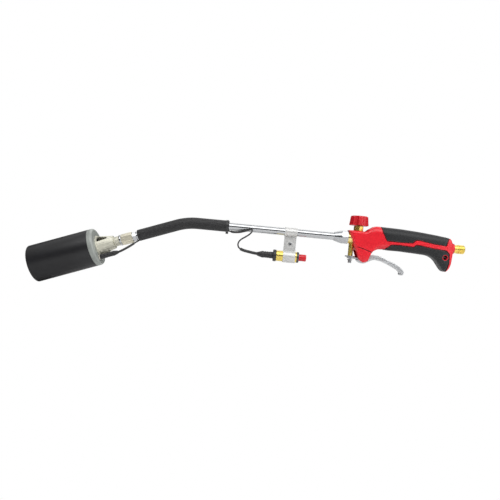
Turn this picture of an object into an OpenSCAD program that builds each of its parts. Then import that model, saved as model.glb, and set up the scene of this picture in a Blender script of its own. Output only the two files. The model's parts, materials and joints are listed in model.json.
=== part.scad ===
// Propane torch: a bent lance with a burner bell, a push-button igniter and a valve handle.
// Frame: origin on the gas inlet's axis at its outer end, +X out of the inlet towards the
// hose, +Z up (the knob's side), -Y the left-hand shell. Millimetres.

/* [Lance] */
// Outside diameter of the lance tube
tube_d = 12; // [11.8:0.1:12.2]
// Wall of the lance tube
tube_wall = 1; // [0.8:0.1:1.2]
// Height of the lance above the gas inlet's axis
tube_z = 2.3; // [2.1:0.1:2.5]
// Angle of the lance's bend
bend_angle = 20.5; // [19.5:0.5:21.5]
// Radius of the bend at the tube's axis
bend_r = 97; // [92:1:102]
// Distance from the inlet's end back to the point where the two straight runs meet
bend_x = -450.5; // [-455:0.5:-446]
// Outside diameter of the foam sleeve
foam_d = 18.4; // [18.4:0.1:19]
// Distance of the sleeve's rear end from the inlet's end
foam_rear_x = -382; // [-384:0.5:-380]
// Distance of the sleeve's front end from the bend point
foam_front_s = 82; // [80:0.5:82]

/* [Burner head] */
// Outside diameter of the bell
bell_d = 60.3; // [59:0.1:62]
// Sheet thickness of the bell and of its back plate
bell_wall = 1.5; // [1.2:0.1:1.8]
// Distance of the back plate's rear face from the bend point
plate_s = 148.5; // [148:0.1:149]
// Depth of the back plate's rim
plate_rim = 8.5; // [7.5:0.1:9]
// Distance of the bell's mouth from the bend point
mouth_s = 256; // [250:0.5:262]
// Height of the electrode below the bell's axis
electrode_drop = 18; // [17.5:0.1:18.5]
// Distance of the electrode to the left of the bell's axis
electrode_side = 13; // [12.5:0.1:13.5]

/* [Igniter] */
// Height of the igniter's axis
igniter_z = -37.5; // [-38.5:0.1:-36.5]
// Outside diameter of the igniter barrel
barrel_d = 17; // [16.5:0.1:17.1]
// Diameter of the push button
button_d = 11; // [10.5:0.1:11.4]
// Travel of the push button
button_travel = 6; // [4:0.5:6]

/* [Handle] */
// Wall of the handle shells
shell_wall = 2.4; // [2.2:0.1:2.6]
// Thickness of the soft grip pads
pad_t = 1.4; // [1.2:0.1:1.6]
// Radius of the hanging hole
hang_r = 3; // [2.5:0.1:3.2]
// Outside diameter of the gas inlet's thread
inlet_d = 14.28; // [14:0.01:14.5]

/* [Valve and knob] */
// Distance of the knob's axis from the inlet's end
knob_x = -173; // [-174:0.5:-172]
// Diameter of the knob at its bottom
knob_d = 31; // [30:0.5:32]
// Height of the knob
knob_h = 15.3; // [14.5:0.1:16]
// Number of finger flutes on the knob
flutes = 6; // [5:1:8]
// Diameter of the needle spindle
spindle_d = 6; // [5.8:0.1:6]

/* [Trigger] */
// Distance of the plunger's axis from the inlet's end
plunger_x = -182.5; // [-183:0.1:-182]
// Outside diameter of the brass plunger tube
plunger_tube_d = 7.8; // [7.7:0.1:8]
// Distance of the lever's pivot from the inlet's end
pivot_x = -163; // [-163.5:0.1:-162.5]
// Height of the lever's pivot
pivot_z = -26.7; // [-27:0.1:-26.4]
// Diameter of the pivot pin
pin_d = 4; // [3.8:0.1:4.2]
// Width of the pressed lever
lever_w = 14; // [13:0.5:15]

/* [Hidden] */
$fn = 64;
gap = 0.05;                 // running and assembly clearance on a radius
over = 1;                   // how far a cutter runs past the face it cuts
tangent = bend_r * tan(bend_angle / 2);
foam_bore = tube_d / 2 + gap;
bend_steps = 8;             // rings round the bend, and sides of what follows it
bent_sides = 32;
lead_r = 1.2;
sleeving_r = 1.9;
shrink_r = 2.4;
lead_ride_r = tube_d / 2 + 1.4;       // lead's distance from the tube's axis inside the sleeve
mouth_r = bell_d / 2;
coupling_s = foam_front_s + 9;
front_nut_s = foam_front_s + 2.5; // leaves room for the lead to leave the sleeve
ring_s = 109;
holder_s = 112.5;
cage_s = 121.5;
nut_x = -211.4;             // rear tube nut: front end, start of its hex, rear end
nut_hex_x = -200;
nut_rear_x = -189.3;
insulator_s = 135;          // rear ends of the electrode's pieces, ahead of the bend point
rod_s = 126.5;
electrode_boot_s = 117;
tail_l = 38;                // length of the mixing tube
barrel_x = [-302, -269];    // igniter: front and rear end of the barrel and of its bracket
bracket_x = [-291.4, -271.4];
bracket_screw_at = [-281, -16.7];
bracket_drop = tube_z - igniter_z;
screw_r = 1.6;
strap = 1.3;                // sheet thickness of the bracket
module_r = 4.2;             // piezo module
striker_r = 2.5;            // its sliding plunger
boot_x = -333;
button_end_x = -253.4;
inlet_shoulder_x = -17.3;
thread_len = 12.6;
gland_z = 14.5;
knob_z = 23.2;
plunger_tube_z = [-26.7, -3.3];
stem_r = 2;
plunger_bore_r = 3.2;
washer_t = 2;
pivot_at = [pivot_x, pivot_z];
pin_half = 12.3;            // half the length of the pivot pin
lever_room = 8.8;           // half the width of the opening for the lever
fork_z = -31;
fork_t = 2;
hang_at = [-33.4, -15.7];
hang_boss_r = 4.5;
// Handle screws: x, z and how far out from the seam each one's boss reaches
SCREWS = [[-152, 10, 12.2], [-110, 14, 11.6], [-62, 9, 11.6], [-35, -25, 11.2], [-157, -12, 12.2]];
screw_boss_r = 3.5;

// Handle outline, front to rear. Each row is one ring of the shell:
// [top x, top z, bottom x, bottom z, half width, top corner radius, bottom corner radius,
//  how far the ring bows back at mid height, 1 where the grip pads cover it,
//  how much higher the hollow's floor lies than the wall alone makes it]
RINGS = [
    [-189, 14.3, -171.7, -29.1, 13.4, 4, 3.5, 0, 0, 0],
    [-180, 14.3, -167.5, -33.4, 13.8, 4, 4, 0, 0, 0],
    [-172, 14.2, -162.8, -35.6, 13.8, 4, 4.5, 0, 0, 0],
    [-163, 14.1, -157.5, -34.2, 13.8, 4.5, 4.5, 0, 0, 0],
    [-158, 17.5, -154.6, -30.7, 13.9, 6, 4.5, 0, 0, 0],
    [-153.5, 20.6, -152.6, -24.4, 14, 7.5, 5, 1, 0, 0],
    [-148.4, 23.6, -149.8, -18.6, 14.2, 9, 6, 2, 0, 0],
    [-144, 24.4, -146, -15, 14.5, 10, 7, 4, 0, 0],
    [-140, 24.5, -139, -12.2, 14.8, 11, 8, 6, 0, 0],
    [-137, 24.4, -131.5, -11.7, 15, 12, 8.5, 7, 0, 0],
    [-136.6, 24.4, -131.1, -11.7, 15, 12, 8.5, 7, 1, 0],
    [-125, 24.2, -122, -12.4, 15.2, 12, 8.5, 3, 1, 0],
    [-106, 23.7, -106, -12.3, 15.2, 12, 8.5, 0, 1, 0],
    [-88, 22.7, -88, -13, 15.1, 12, 8.5, 0, 1, 0],
    [-82, 22.3, -82, -13.2, 15, 12, 8.5, 0, 1, 0],
    [-67, 21.1, -67, -14, 14.7, 12, 8.5, 0, 1, 0],
    [-60, 20.4, -60, -14.6, 14.5, 12, 8.5, 0, 1, 0],
    [-53, 19.7, -53.4, -16.6, 14.2, 11, 8, 0, 1, 0],
    [-45.5, 18.9, -46.5, -21.3, 14, 11, 8, 0, 1, 0],
    [-38, 17.9, -39.1, -30.1, 13.6, 10, 7, 0, 1, 0],
    [-31, 16.9, -34.5, -35.6, 13.2, 9, 6.5, 0, 1, 0],
    [-28, 16.2, -32.2, -37.4, 13, 8, 6.5, 0, 1, 0],
    [-27.6, 16.1, -31.8, -37.6, 13, 8, 6.5, 0, 0, 0.5],
    [-25, 14.9, -29.3, -38.2, 12.6, 7, 6, 0, 0, 3],
    [-23.3, 12.4, -25.6, -35.6, 11.6, 6, 6, 0, 0, 14],
    [-21.6, 9.9, -22.3, -29.7, 10.4, 6, 6, 0, 0, 18],
    [-20.6, 8.9, -20.8, -18.6, 9.2, 7, 7, 0, 0, 8.6],
    [-19.9, 8.6, -19.9, -8.8, 8.6, 8, 8, 0, 0, 0],
    [-17.3, 8.5, -17.3, -8.5, 8.5, 8, 8, 0, 0, 0]];
PAD_FIRST = 10;
PAD_LAST = 21;
// Upper and lower edge of the raised strip that parts the two pads
STRIP_TOP = [[-190, 6], [-128, 3], [-108, 2.6], [-88, 3.3], [-82, 8], [-76, 8.4], [-55, 5.3],
    [-20, 3.4]];
STRIP_BOTTOM = [[-190, -3], [-122, -4], [-108, -3.4], [-88, -4.4], [-82, -1], [-76, -0.9],
    [-55, -3.7], [-35, -5], [-20, -6]];
strip_slope = 1;
strip_room = 0.3;           // least distance from the strip to the rounded corners
pad_edge = 0.2;             // clearance between a pad's edge and the strip
pad_seat = 0.15;            // clearance between a pad and the shell under it

// Side outline of the lever: upper edge from the pivot ear to the tip, lower edge back
LEVER_TOP = [[-168.6, -24], [-166, -21.6], [-161, -20.8], [-152, -21.8], [-144, -21.9],
    [-138, -22.6], [-131, -24.8], [-123.5, -28], [-112.4, -32], [-101.6, -37.8], [-96, -43],
    [-95, -48]];
LEVER_BOTTOM = [[-97, -50.6], [-100.6, -50], [-101.4, -45.6], [-106.5, -41.6], [-112, -39],
    [-123.3, -34], [-130, -31.6], [-137, -30.2], [-144, -29.8], [-150, -31.6], [-156, -35],
    [-162, -37.2], [-168, -36], [-172.5, -32.6]];

// Route of the ignition lead: from the electrode boot to the sleeve, and from the sleeve's
// rear end round a hairpin to the igniter
LEAD_FRONT = [[-562, -13, -58.7], [-553.4, -13, -55.4], [-548.5, -12, -52.6], [-542, -9.8, -48],
    [-536.5, -7, -43.6], [-532, -3.9, -39.4], [-529.2, -2, -37.1], [-527, -0.7, -35.4],
    [-524.5, -0.2, -33.4], [-520, 0, -31.6]];
LEAD_REAR = [[-382, 0, -5.1], [-378, 0, -5.8], [-374, -1, -6.2], [-366, -3.5, -5.6],
    [-359, -6.2, -3.9], [-352, -8.4, -1.5], [-347, -10.5, -0.1], [-344.2, -13, -0.5],
    [-344.5, -14.5, -3.4], [-347, -13.8, -6.9], [-350.5, -11.8, -9.9], [-355, -9.5, -13.1],
    [-360, -7.5, -16.5], [-363.6, -5.8, -20.5], [-365, -4.2, -25.2], [-363.8, -3, -29.3],
    [-360.5, -2, -32.3], [-355, -1, -34.1], [-348, -0.3, -35.4], [-340, 0, -36.6],
    [-332, 0, -37.4], [-326, 0, -37.5]];
lead_arc_r = bend_r - lead_ride_r;
LEAD_SLEEVE = concat(
    [for (s = [70, 61, 52, 43, 34, 25])
        [bend_x - s * cos(bend_angle) + lead_ride_r * sin(bend_angle), 0,
         tube_z - s * sin(bend_angle) - lead_ride_r * cos(bend_angle)]],
    [for (a = [bend_angle : -bend_angle / 5 : 0])
        [bend_x + tangent - lead_arc_r * sin(a), 0, tube_z - bend_r + lead_arc_r * cos(a)]],
    [for (x = [-424, -416, -408, -400, -391]) [x, 0, tube_z - lead_ride_r]]);
LEAD = concat(LEAD_FRONT, LEAD_SLEEVE, LEAD_REAR);

brass = "goldenrod";
steel = "silver";
red = "crimson";
soft_black = "dimgray";

// ---------- shared shapes ----------

// Children drawn along +Z are laid along +X from x
module along_x(x, z = 0) { translate([x, 0, z]) rotate([0, 90, 0]) children(); }

// Children drawn along +Z are laid along the front run of the lance; their +X points up
module on_lance(s = 0) {
    translate([bend_x - s * cos(bend_angle), 0, tube_z - s * sin(bend_angle)])
        rotate([0, -90 - bend_angle, 0]) children();
}

module pipe(od, id, length) {
    difference() {
        cylinder(d = od, h = length);
        translate([0, 0, -over]) cylinder(d = id, h = length + 2 * over);
    }
}

module hex(across_flats, length) { cylinder(d = across_flats / cos(30), h = length, $fn = 6); }

// Smooth curve through points (Catmull-Rom), n steps to each stretch
function spline_at(a, b, c, d, t) = 0.5 * ((2 * b) + (c - a) * t
    + (2 * a - 5 * b + 4 * c - d) * t * t + (3 * b - a - 3 * c + d) * t * t * t);
function smooth(pts, n) = let (last = len(pts) - 1) concat(
    [for (i = [0 : last - 1], k = [0 : n - 1]) spline_at(pts[max(i - 1, 0)], pts[i],
        pts[i + 1], pts[min(i + 2, last)], k / n)], [pts[last]]);

// Round tube swept along points; a bore of 0 makes it solid
function unit(v) = v / norm(v);
function heading(p, i) = unit(p[min(i + 1, len(p) - 1)] - p[max(i - 1, 0)]);
function hoop(p, i, r, sides) = let (t = heading(p, i), side = unit(cross(t, [0.13, 0.31, 0.94])),
    up = cross(side, t)) [for (k = [0 : sides - 1])
        p[i] + r * (cos(k * 360 / sides) * side + sin(k * 360 / sides) * up)];
// Side faces between rings of n points, rows of them, from point first
function side_faces(rows, n, first = 0, inward = false) =
    [for (i = [0 : rows - 2], k = [0 : n - 1])
        let (p = first + i * n + k, q = first + i * n + (k + 1) % n)
        each inward ? [[p, q + n, q], [p, p + n, q + n]] : [[p, q, q + n], [p, q + n, p + n]]];

// Closed skin over full rings, capped at both ends
module solid_loft(rings) {
    n = len(rings[0]);
    end = (len(rings) - 1) * n;
    polyhedron([for (ring = rings) each ring], concat(side_faces(len(rings), n),
        [[for (k = [n - 1 : -1 : 0]) k]], [[for (k = [0 : n - 1]) end + k]]));
}

// The same with a bore: one list of rings outside, one of as many inside
module hollow_loft(outer, inner) {
    n = len(outer[0]);
    rows = len(outer);
    total = rows * n;
    end = total - n;
    polyhedron([for (ring = concat(outer, inner)) each ring], concat(side_faces(rows, n),
        side_faces(rows, n, total, true), [for (k = [0 : n - 1]) let (j = (k + 1) % n)
            each [[total + k, total + j, j], [total + k, j, k],
                [end + j, total + end + j, total + end + k], [end + j, total + end + k, end + k]]]));
}

module swept_tube(p, r, bore_r = 0, sides = 8) {
    outer = [for (i = [0 : len(p) - 1]) hoop(p, i, r, sides)];
    if (bore_r == 0) solid_loft(outer);
    else hollow_loft(outer, [for (i = [0 : len(p) - 1]) hoop(p, i, bore_r, sides)]);
}

// Helical spring of round wire, axis +Z
module coil_spring(mean_r, wire_r, z0, z1, turns, steps = 12) {
    swept_tube([for (i = [0 : turns * steps]) let (a = 360 * i / steps)
        [mean_r * cos(a), mean_r * sin(a), z0 + wire_r + (z1 - z0 - 2 * wire_r) * i / (turns * steps)]],
        wire_r, sides = 6);
}

// ---------- burner head ----------

module burner_bell() {
    seat_r = mouth_r - bell_wall - gap;
    color("dimgray") on_lance() rotate_extrude() polygon([
        [seat_r - bell_wall, plate_s + 2], [seat_r, plate_s + 2],
        [seat_r, plate_s + plate_rim + 0.1], [mouth_r, plate_s + plate_rim + 0.1],
        [mouth_r, mouth_s - 0.5], [mouth_r - 0.5, mouth_s],
        [mouth_r - bell_wall + 0.4, mouth_s], [mouth_r - bell_wall, mouth_s - 0.4],
        [mouth_r - bell_wall, plate_s + plate_rim + 3],
        [seat_r - bell_wall, plate_s + plate_rim + 1]]);
}

module bell_back_plate() {
    round_r = 2;
    color("darkgray") on_lance() difference() {
        rotate_extrude() polygon(concat([[11.2, plate_s]],
            [for (a = [0 : 15 : 90]) [mouth_r - round_r + round_r * sin(a),
                plate_s + round_r - round_r * cos(a)]],
            [[mouth_r, plate_s + plate_rim], [mouth_r - bell_wall, plate_s + plate_rim],
             [mouth_r - bell_wall, plate_s + bell_wall], [11.2, plate_s + bell_wall]]));
        translate([-electrode_drop, -electrode_side, plate_s - over])
            cylinder(r = 3.1, h = bell_wall + 2 * over);
    }
}

module mixing_tube() {
    color(steel) on_lance(plate_s - 1) difference() {
        union() {
            cylinder(r = 11.1, h = tail_l);
            translate([0, 0, 1 + bell_wall + gap]) cylinder(r = 15, h = 1.2);
        }
        translate([0, 0, -over]) cylinder(r = 10, h = tail_l + 2 * over);
    }
}

module flame_spreader() {
    hole_ring_r = 15.5;
    color(steel) on_lance(plate_s + 33) difference() {
        union() {
            cylinder(r = 20, h = 1.2);
            cylinder(r = 12.4, h = 4);
        }
        translate([0, 0, -over]) cylinder(r = 11.1 + gap, h = 4 + 2 * over);
        for (a = [0 : 30 : 330]) rotate([0, 0, a]) translate([hole_ring_r, 0, -over])
            cylinder(r = 2, h = 4);
    }
}

module air_cage() {
    foot_r = 16;
    neck_r = 10.5;
    cage_wall = 2;
    length = plate_s - cage_s;
    color("lightgray") on_lance() difference() {
        union() {
            translate([0, 0, cage_s]) cylinder(r1 = neck_r, r2 = foot_r, h = length);
            translate([0, 0, plate_s - 1.6]) cylinder(r = foot_r + 1.4, h = 1.6);
        }
        translate([0, 0, cage_s + 3.5])
            cylinder(r1 = neck_r - cage_wall + 0.6, r2 = foot_r - cage_wall, h = length - 3.5);
        translate([0, 0, plate_s - over]) cylinder(r = foot_r - cage_wall, h = 2 * over);
        translate([0, 0, cage_s - over]) cylinder(r = 6.1, h = length);
        for (a = [-40, 80, 200]) rotate([0, 0, a]) translate([6, 0, 0]) rotate([0, 90, 0])
            linear_extrude(14) polygon([[-130.5, -1.6], [-130.5, 1.6], [-146.6, 7], [-146.6, -7]]);
    }
}

module gas_jet() {
    color(brass) on_lance(cage_s + 3.6) difference() {
        union() {
            translate([0, 0, -6]) cylinder(r = 2.9, h = 6.5);
            hex(9, 4);
            translate([0, 0, 4]) cylinder(r1 = 4, r2 = 2, h = 7);
        }
        translate([0, 0, -7]) cylinder(r = 1.8, h = 14);
        translate([0, 0, 6]) cylinder(r = 0.5, h = 8);
    }
}

module jet_holder() {
    color("gray") on_lance(holder_s) difference() {
        union() {
            cylinder(d = 15.5, h = cage_s - holder_s - 0.1);
            cylinder(r = 6.05, h = cage_s - holder_s + 3.5);
        }
        translate([0, 0, -over]) cylinder(r = 5.05, h = 6.2 + over);
        cylinder(r = 2.95, h = 20);
    }
}

module lock_ring() { color(steel) on_lance(ring_s + 0.1) pipe(17.5, 10.2, 3.3); }

module head_coupling() {
    color("tan") on_lance(coupling_s) difference() {
        union() {
            hex(16, ring_s - coupling_s);
            translate([0, 0, 2]) cylinder(r = 5, h = ring_s - coupling_s + 7);
        }
        translate([0, 0, -over]) cylinder(r = tube_d / 2 + gap, h = 5 + over);
        translate([0, 0, -over]) cylinder(r = 3, h = 40);
    }
}

module front_tube_nut() {
    length = coupling_s - 0.1 - front_nut_s;
    color("gainsboro") on_lance(front_nut_s) difference() {
        rotate([0, 0, 30]) hex(14, length);
        translate([0, 0, -over]) cylinder(r = tube_d / 2 + gap, h = length + 2 * over);
        translate([0, 0, 2.7]) cylinder(r = 6.6, h = length);
    }
}

module front_olive() { color(brass) on_lance(front_nut_s + 2.9) pipe(13.1, tube_d + 0.1, 3.4); }

module electrode_at(s) { on_lance(s) translate([-electrode_drop, -electrode_side, 0]) children(); }

module electrode_rod() {
    straight = 66;
    color(steel) electrode_at(rod_s) rotate([0, 0, atan2(electrode_side, electrode_drop)]) {
        cylinder(r = 1, h = straight + 0.6);
        translate([0, 0, straight - 0.2]) rotate([0, 40, 0]) cylinder(r = 0.95, h = 8);
    }
}

module electrode_insulator() {
    color("white") electrode_at(insulator_s) difference() {
        union() {
            cylinder(r = 3, h = 45);
            translate([0, 0, plate_s - insulator_s - 2]) cylinder(r = 4.4, h = 1.95);
        }
        translate([0, 0, -over]) cylinder(r = 1 + gap, h = 50);
    }
}

module electrode_boot() {
    color("black") electrode_at(electrode_boot_s) difference() {
        union() {
            cylinder(r1 = 2.5, r2 = 4.1, h = 7);
            translate([0, 0, 7]) cylinder(r = 4.1, h = 22);
        }
        translate([0, 0, -over]) cylinder(r = lead_r + 0.15, h = 12);
        translate([0, 0, 9]) cylinder(r = 1.3, h = 12);
        translate([0, 0, insulator_s - electrode_boot_s - 0.2]) cylinder(r = 3 + gap, h = 20);
    }
}

// ---------- ignition lead ----------

function part_of(list, first, last) = [for (i = [first : last]) list[i]];

module ignition_lead() { color("black") swept_tube(LEAD, lead_r); }

module lead_sleeving_front() {
    color("black") swept_tube(part_of(LEAD, 1, 5), sleeving_r, lead_r + gap);
}

module lead_sleeving_rear() {
    first = len(LEAD) - len(LEAD_REAR) + 1;
    color("black") swept_tube(part_of(LEAD, first, first + 4), sleeving_r, lead_r + gap);
}

module lead_heat_shrink() {
    first = len(LEAD) - 6;
    color("black") swept_tube(part_of(LEAD, first, first + 4), shrink_r, lead_r + gap);
}

// ---------- lance ----------

// Ring round the lance's axis: run is the distance ahead of the bend, turn the angle left of
// the bend, back the distance behind it, radii one for each point from the top
function bent_ring(run, turn, back, radii) = let (n = len(radii),
    c = [bend_x + tangent - bend_r * sin(turn) - run * cos(turn) + back, 0,
        tube_z - bend_r + bend_r * cos(turn) - run * sin(turn)])
    [for (k = [0 : n - 1]) let (t = 360 * k / n)
        c + radii[k] * [-cos(t) * sin(turn), sin(t), cos(t) * cos(turn)]];
// Rings from front_s ahead of the bend point to rear_x on the rear run
function bent_rings(front_s, rear_x, radii) = concat(
    [bent_ring(front_s - tangent, bend_angle, 0, radii)],
    [for (i = [0 : bend_steps]) bent_ring(0, bend_angle * (1 - i / bend_steps), 0, radii)],
    [bent_ring(0, 0, rear_x - bend_x - tangent, radii)]);
function even(r) = [for (k = [1 : bent_sides]) r];

module lance_tube() {
    color("gainsboro") hollow_loft(
        bent_rings(coupling_s + 4.9, nut_rear_x - 1.2, even(tube_d / 2)),
        bent_rings(coupling_s + 4.9, nut_rear_x - 1.2, even(tube_d / 2 - tube_wall)));
}

// The sleeve's bore has a channel along its underside for the lead
module foam_sleeve() {
    bore = [for (k = [0 : bent_sides - 1]) abs(k - bent_sides / 2) < 2
        ? lead_ride_r + lead_r + 0.25 : foam_bore + 0.06];
    color("black") hollow_loft(bent_rings(foam_front_s, foam_rear_x, even(foam_d / 2)),
        bent_rings(foam_front_s, foam_rear_x, bore));
}

module sleeve_tie() {
    tie_w = 4;
    color("black") along_x(foam_rear_x - 5, tube_z) {
        pipe(foam_d + 1.6, foam_d + 0.04, tie_w);
        translate([foam_d / 2 + 0.1, 1.5, 0]) cube([2.9, 5, tie_w]);
    }
}

module rear_tube_nut() {
    color(steel) difference() {
        union() {
            along_x(nut_x, tube_z) cylinder(r1 = 6.7, r2 = 10.2, h = nut_hex_x - nut_x);
            along_x(nut_hex_x - 0.01, tube_z) intersection() {
                rotate([0, 0, 30]) hex(20, nut_rear_x - nut_hex_x);
                cylinder(r1 = 10.3, r2 = 21, h = nut_rear_x - nut_hex_x);
            }
        }
        along_x(nut_x - over, tube_z) cylinder(r = tube_d / 2 + gap, h = 40);
        along_x(-203, tube_z) cylinder(r = 8, h = 20);
    }
}

module rear_olive() { color(brass) along_x(-202.8, tube_z) pipe(15.8, tube_d + 0.1, 3.6); }

// ---------- igniter ----------

module igniter_bracket() {
    tube_grip = tube_d / 2 + gap;
    barrel_grip = barrel_d / 2 + gap;
    color("gainsboro") difference() {
        translate([bracket_x[1], 0, tube_z]) rotate([0, -90, 0])
            linear_extrude(bracket_x[1] - bracket_x[0]) difference() {
                union() {
                    circle(r = tube_grip + strap);
                    translate([-bracket_drop, 0]) circle(r = barrel_grip + strap);
                    translate([-bracket_drop, -strap - 0.1]) square([bracket_drop, 2 * strap + 0.2]);
                }
                circle(r = tube_grip);
                translate([-bracket_drop, 0]) circle(r = barrel_grip);
                translate([-bracket_drop, -0.1]) square([bracket_drop, 0.2]);
            }
        across(bracket_screw_at, -bracket_drop, screw_r + 0.1, 2 * bracket_drop);
    }
}

module bracket_screw() {
    color("gray") translate([bracket_screw_at[0], -strap - 0.15, bracket_screw_at[1]])
        rotate([90, 0, 0]) difference() {
        union() {
            cylinder(r1 = 3, r2 = 2.4, h = 2);
            translate([0, 0, -6.5]) cylinder(r = screw_r, h = 7);
        }
        translate([0, 0, 0.9]) hex(2.5, 3);
    }
}

module bracket_nut() {
    nut_t = 2.4;
    color(steel) translate([bracket_screw_at[0], strap + 0.2 + nut_t, bracket_screw_at[1]])
        rotate([90, 0, 0]) difference() {
            hex(5.5, nut_t);
            translate([0, 0, -over]) cylinder(r = screw_r + gap, h = 5);
        }
}

module igniter_barrel() {
    color(brass) along_x(barrel_x[0], igniter_z) difference() {
        cylinder(d = barrel_d, h = barrel_x[1] - barrel_x[0]);
        translate([0, 0, 2]) cylinder(r = 7, h = 40);
        translate([0, 0, -over]) cylinder(r = module_r + 0.1, h = 10);
    }
}

module igniter_end_cap() {
    color("black") along_x(barrel_x[0] - 5, igniter_z) difference() {
        cylinder(r = 9.5, h = 4.95);
        translate([0, 0, -over]) cylinder(r = module_r + 0.1, h = 10);
    }
}

module igniter_boot() {
    color("black") along_x(boot_x, igniter_z) difference() {
        union() {
            cylinder(r1 = 2.8, r2 = 5.35, h = 8);
            translate([0, 0, 8]) cylinder(r = 5.35, h = 17.9);
        }
        translate([0, 0, -over]) cylinder(r = shrink_r + 0.25, h = 3);
        cylinder(r = lead_r + 0.35, h = 9);
        translate([0, 0, 8]) cylinder(r = module_r + 0.1, h = 20);
    }
}

module igniter_collar() {
    color("dimgray") along_x(barrel_x[1] + 0.05, igniter_z) difference() {
        cylinder(d = 17.4, h = 3.6);
        translate([0, 0, -over]) cylinder(d = button_d + 0.4, h = 10);
    }
}

module igniter_button() {
    length = button_end_x - (barrel_x[1] - 3);
    color(red) along_x(barrel_x[1] - 3, igniter_z) difference() {
        union() {
            cylinder(r = 6.6, h = 2.8);
            cylinder(d = button_d, h = length - 0.8);
            translate([0, 0, length - 0.8]) cylinder(d1 = button_d, d2 = button_d - 1.6, h = 0.8);
        }
        translate([0, 0, -over]) cylinder(r = striker_r + gap, h = 8);
    }
}

// The bore leaves the striker the button's travel and a little more
module piezo_module() {
    bore_z = 34 - button_travel;
    color("ivory") along_x(-320, igniter_z) difference() {
        union() {
            cylinder(r = module_r, h = 40);
            translate([0, 0, -3.5]) cylinder(r = 1.5, h = 4);
        }
        translate([0, 0, bore_z]) cylinder(r = striker_r + gap, h = 20);
    }
}

module piezo_plunger() {
    color("dimgray") along_x(-283, igniter_z) cylinder(r = striker_r, h = 18);
}

// ---------- handle ----------

function corner(yc, zc, r, from, to) =
    [for (i = [0 : 5]) let (a = from + (to - from) * i / 5) [yc + r * cos(a), zc + r * sin(a)]];

// Height of a ring, and the direction it rises in
function ring_frame(g) = let (v = [g[0] - g[2], g[1] - g[3]]) [norm(v), v / norm(v)];
// How far up a ring the height z lies
function ring_q(g, z) = (z - g[3]) / ring_frame(g)[1][1];
// Point [out from the seam, up the ring] of a ring, in space
function in_space(g, p) = let (f = ring_frame(g), x = g[2] + f[1][0] * p[1])
    [x + g[7] * (1 - abs(2 * p[1] / f[0] - 1)), p[0], g[3] + f[1][1] * p[1]];
// Side of a ring shrunk by e, where the strip between the pads stands out by proud
function side_strip(g, e, proud) = let (w = g[4] - e, x = (g[0] + g[2]) / 2,
    q1 = min(ring_q(g, lookup(x, STRIP_TOP)), ring_frame(g)[0] - g[5] - strip_room),
    q0 = max(ring_q(g, lookup(x, STRIP_BOTTOM)), g[6] + strip_room),
    slope = min(strip_slope, (q1 - q0) / 4))
    [[w, q1], [w + proud, q1 - slope], [w + proud, q0 + slope], [w, q0]];
// What runs from the top seam down to that side, and from it on to the bottom seam
function top_half(g, e) = let (w = g[4] - e, t = ring_frame(g)[0] - e, r = max(g[5] - e, 0.4))
    concat([[gap, t]], corner(w - r, t - r, r, 90, 0));
function bottom_half(g, e) = let (w = g[4] - e, r = max(g[6] - e, 0.4))
    concat(corner(w - r, e + r, r, 0, -90), [[gap, e]]);
// Outside of the shell's ring, which lies pad_t deeper where the pads cover it
function outer_ring(g) = let (e = g[8] * pad_t)
    concat(top_half(g, e), side_strip(g, e, e), bottom_half(g, e));
// The ring whose foot is moved up to the hollow's floor
function lifted(g) = let (v = ring_frame(g)[1] * g[9])
    [g[0], g[1], g[2] + v[0], g[3] + v[1], g[4], g[5], g[6], g[7], g[8], 0];
function inner_ring(g) = let (e = g[8] * pad_t + shell_wall)
    concat(top_half(g, e), side_strip(g, e, 0), bottom_half(g, e));
function backwards(list) = [for (i = [len(list) - 1 : -1 : 0]) list[i]];

// Closed skin over open rings, each running out along its outer line and back along its inner
module shell_loft(rings) {
    n = len(rings[0]);
    rows = len(rings);
    cap = [for (k = [0 : n / 2 - 2]) each [[k, k + 1, n - 1 - k], [k + 1, n - 2 - k, n - 1 - k]]];
    end = (rows - 1) * n;
    polyhedron([for (ring = rings) each ring], concat(side_faces(rows, n),
        [for (f = cap) [f[2], f[1], f[0]]], [for (f = cap) [end + f[0], end + f[1], end + f[2]]]));
}

module right_shell_skin() {
    shell_loft([for (g = RINGS) let (h = lifted(g)) concat([for (p = outer_ring(g)) in_space(g, p)],
        backwards([for (p = inner_ring(h)) in_space(h, p)]))]);
}

// Cylinder lying along +Y from y, on the axis through at
module across(at, y, r, length) {
    translate([at[0], y, at[1]]) rotate([-90, 0, 0]) cylinder(r = r, h = length);
}

// Right-hand shell with its bosses and openings; the left one is its mirror image
module shell_half() {
    difference() {
        union() {
            right_shell_skin();
            for (at = SCREWS) across(at, gap, screw_boss_r, at[2] - gap);
            across(hang_at, gap, hang_boss_r, 13.1);
            across(pivot_at, lever_room, 4.2, pin_half - lever_room - 0.6);
        }
        across(hang_at, -over, hang_r, 20);
        across(pivot_at, -over, pin_d / 2 + gap, pin_half + gap + over);
        translate([knob_x, 0, 5]) cylinder(r = 5.8, h = 20);
        translate([-175, -over, -40]) cube([34, lever_room + over, 23]);
        for (at = SCREWS) across(at, -over, 1.5, 9);
    }
}

module handle_shell_right() {
    color(red) difference() {
        shell_half();
        for (at = SCREWS) {
            across(at, 7, 1.6, 10);
            across(at, 10.4, 3.1, 8);
        }
    }
}

module handle_shell_left() { color(red) mirror([0, 1, 0]) shell_half(); }

// One side of a pad's ring, inset by e: from the top seam to the strip, or on to the bottom seam
function pad_line(g, e, upper) = let (strip = side_strip(g, e, 0)) upper
    ? concat(top_half(g, e), [strip[0] + [0, pad_edge]])
    : concat([strip[3] - [0, pad_edge]], bottom_half(g, e));

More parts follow.
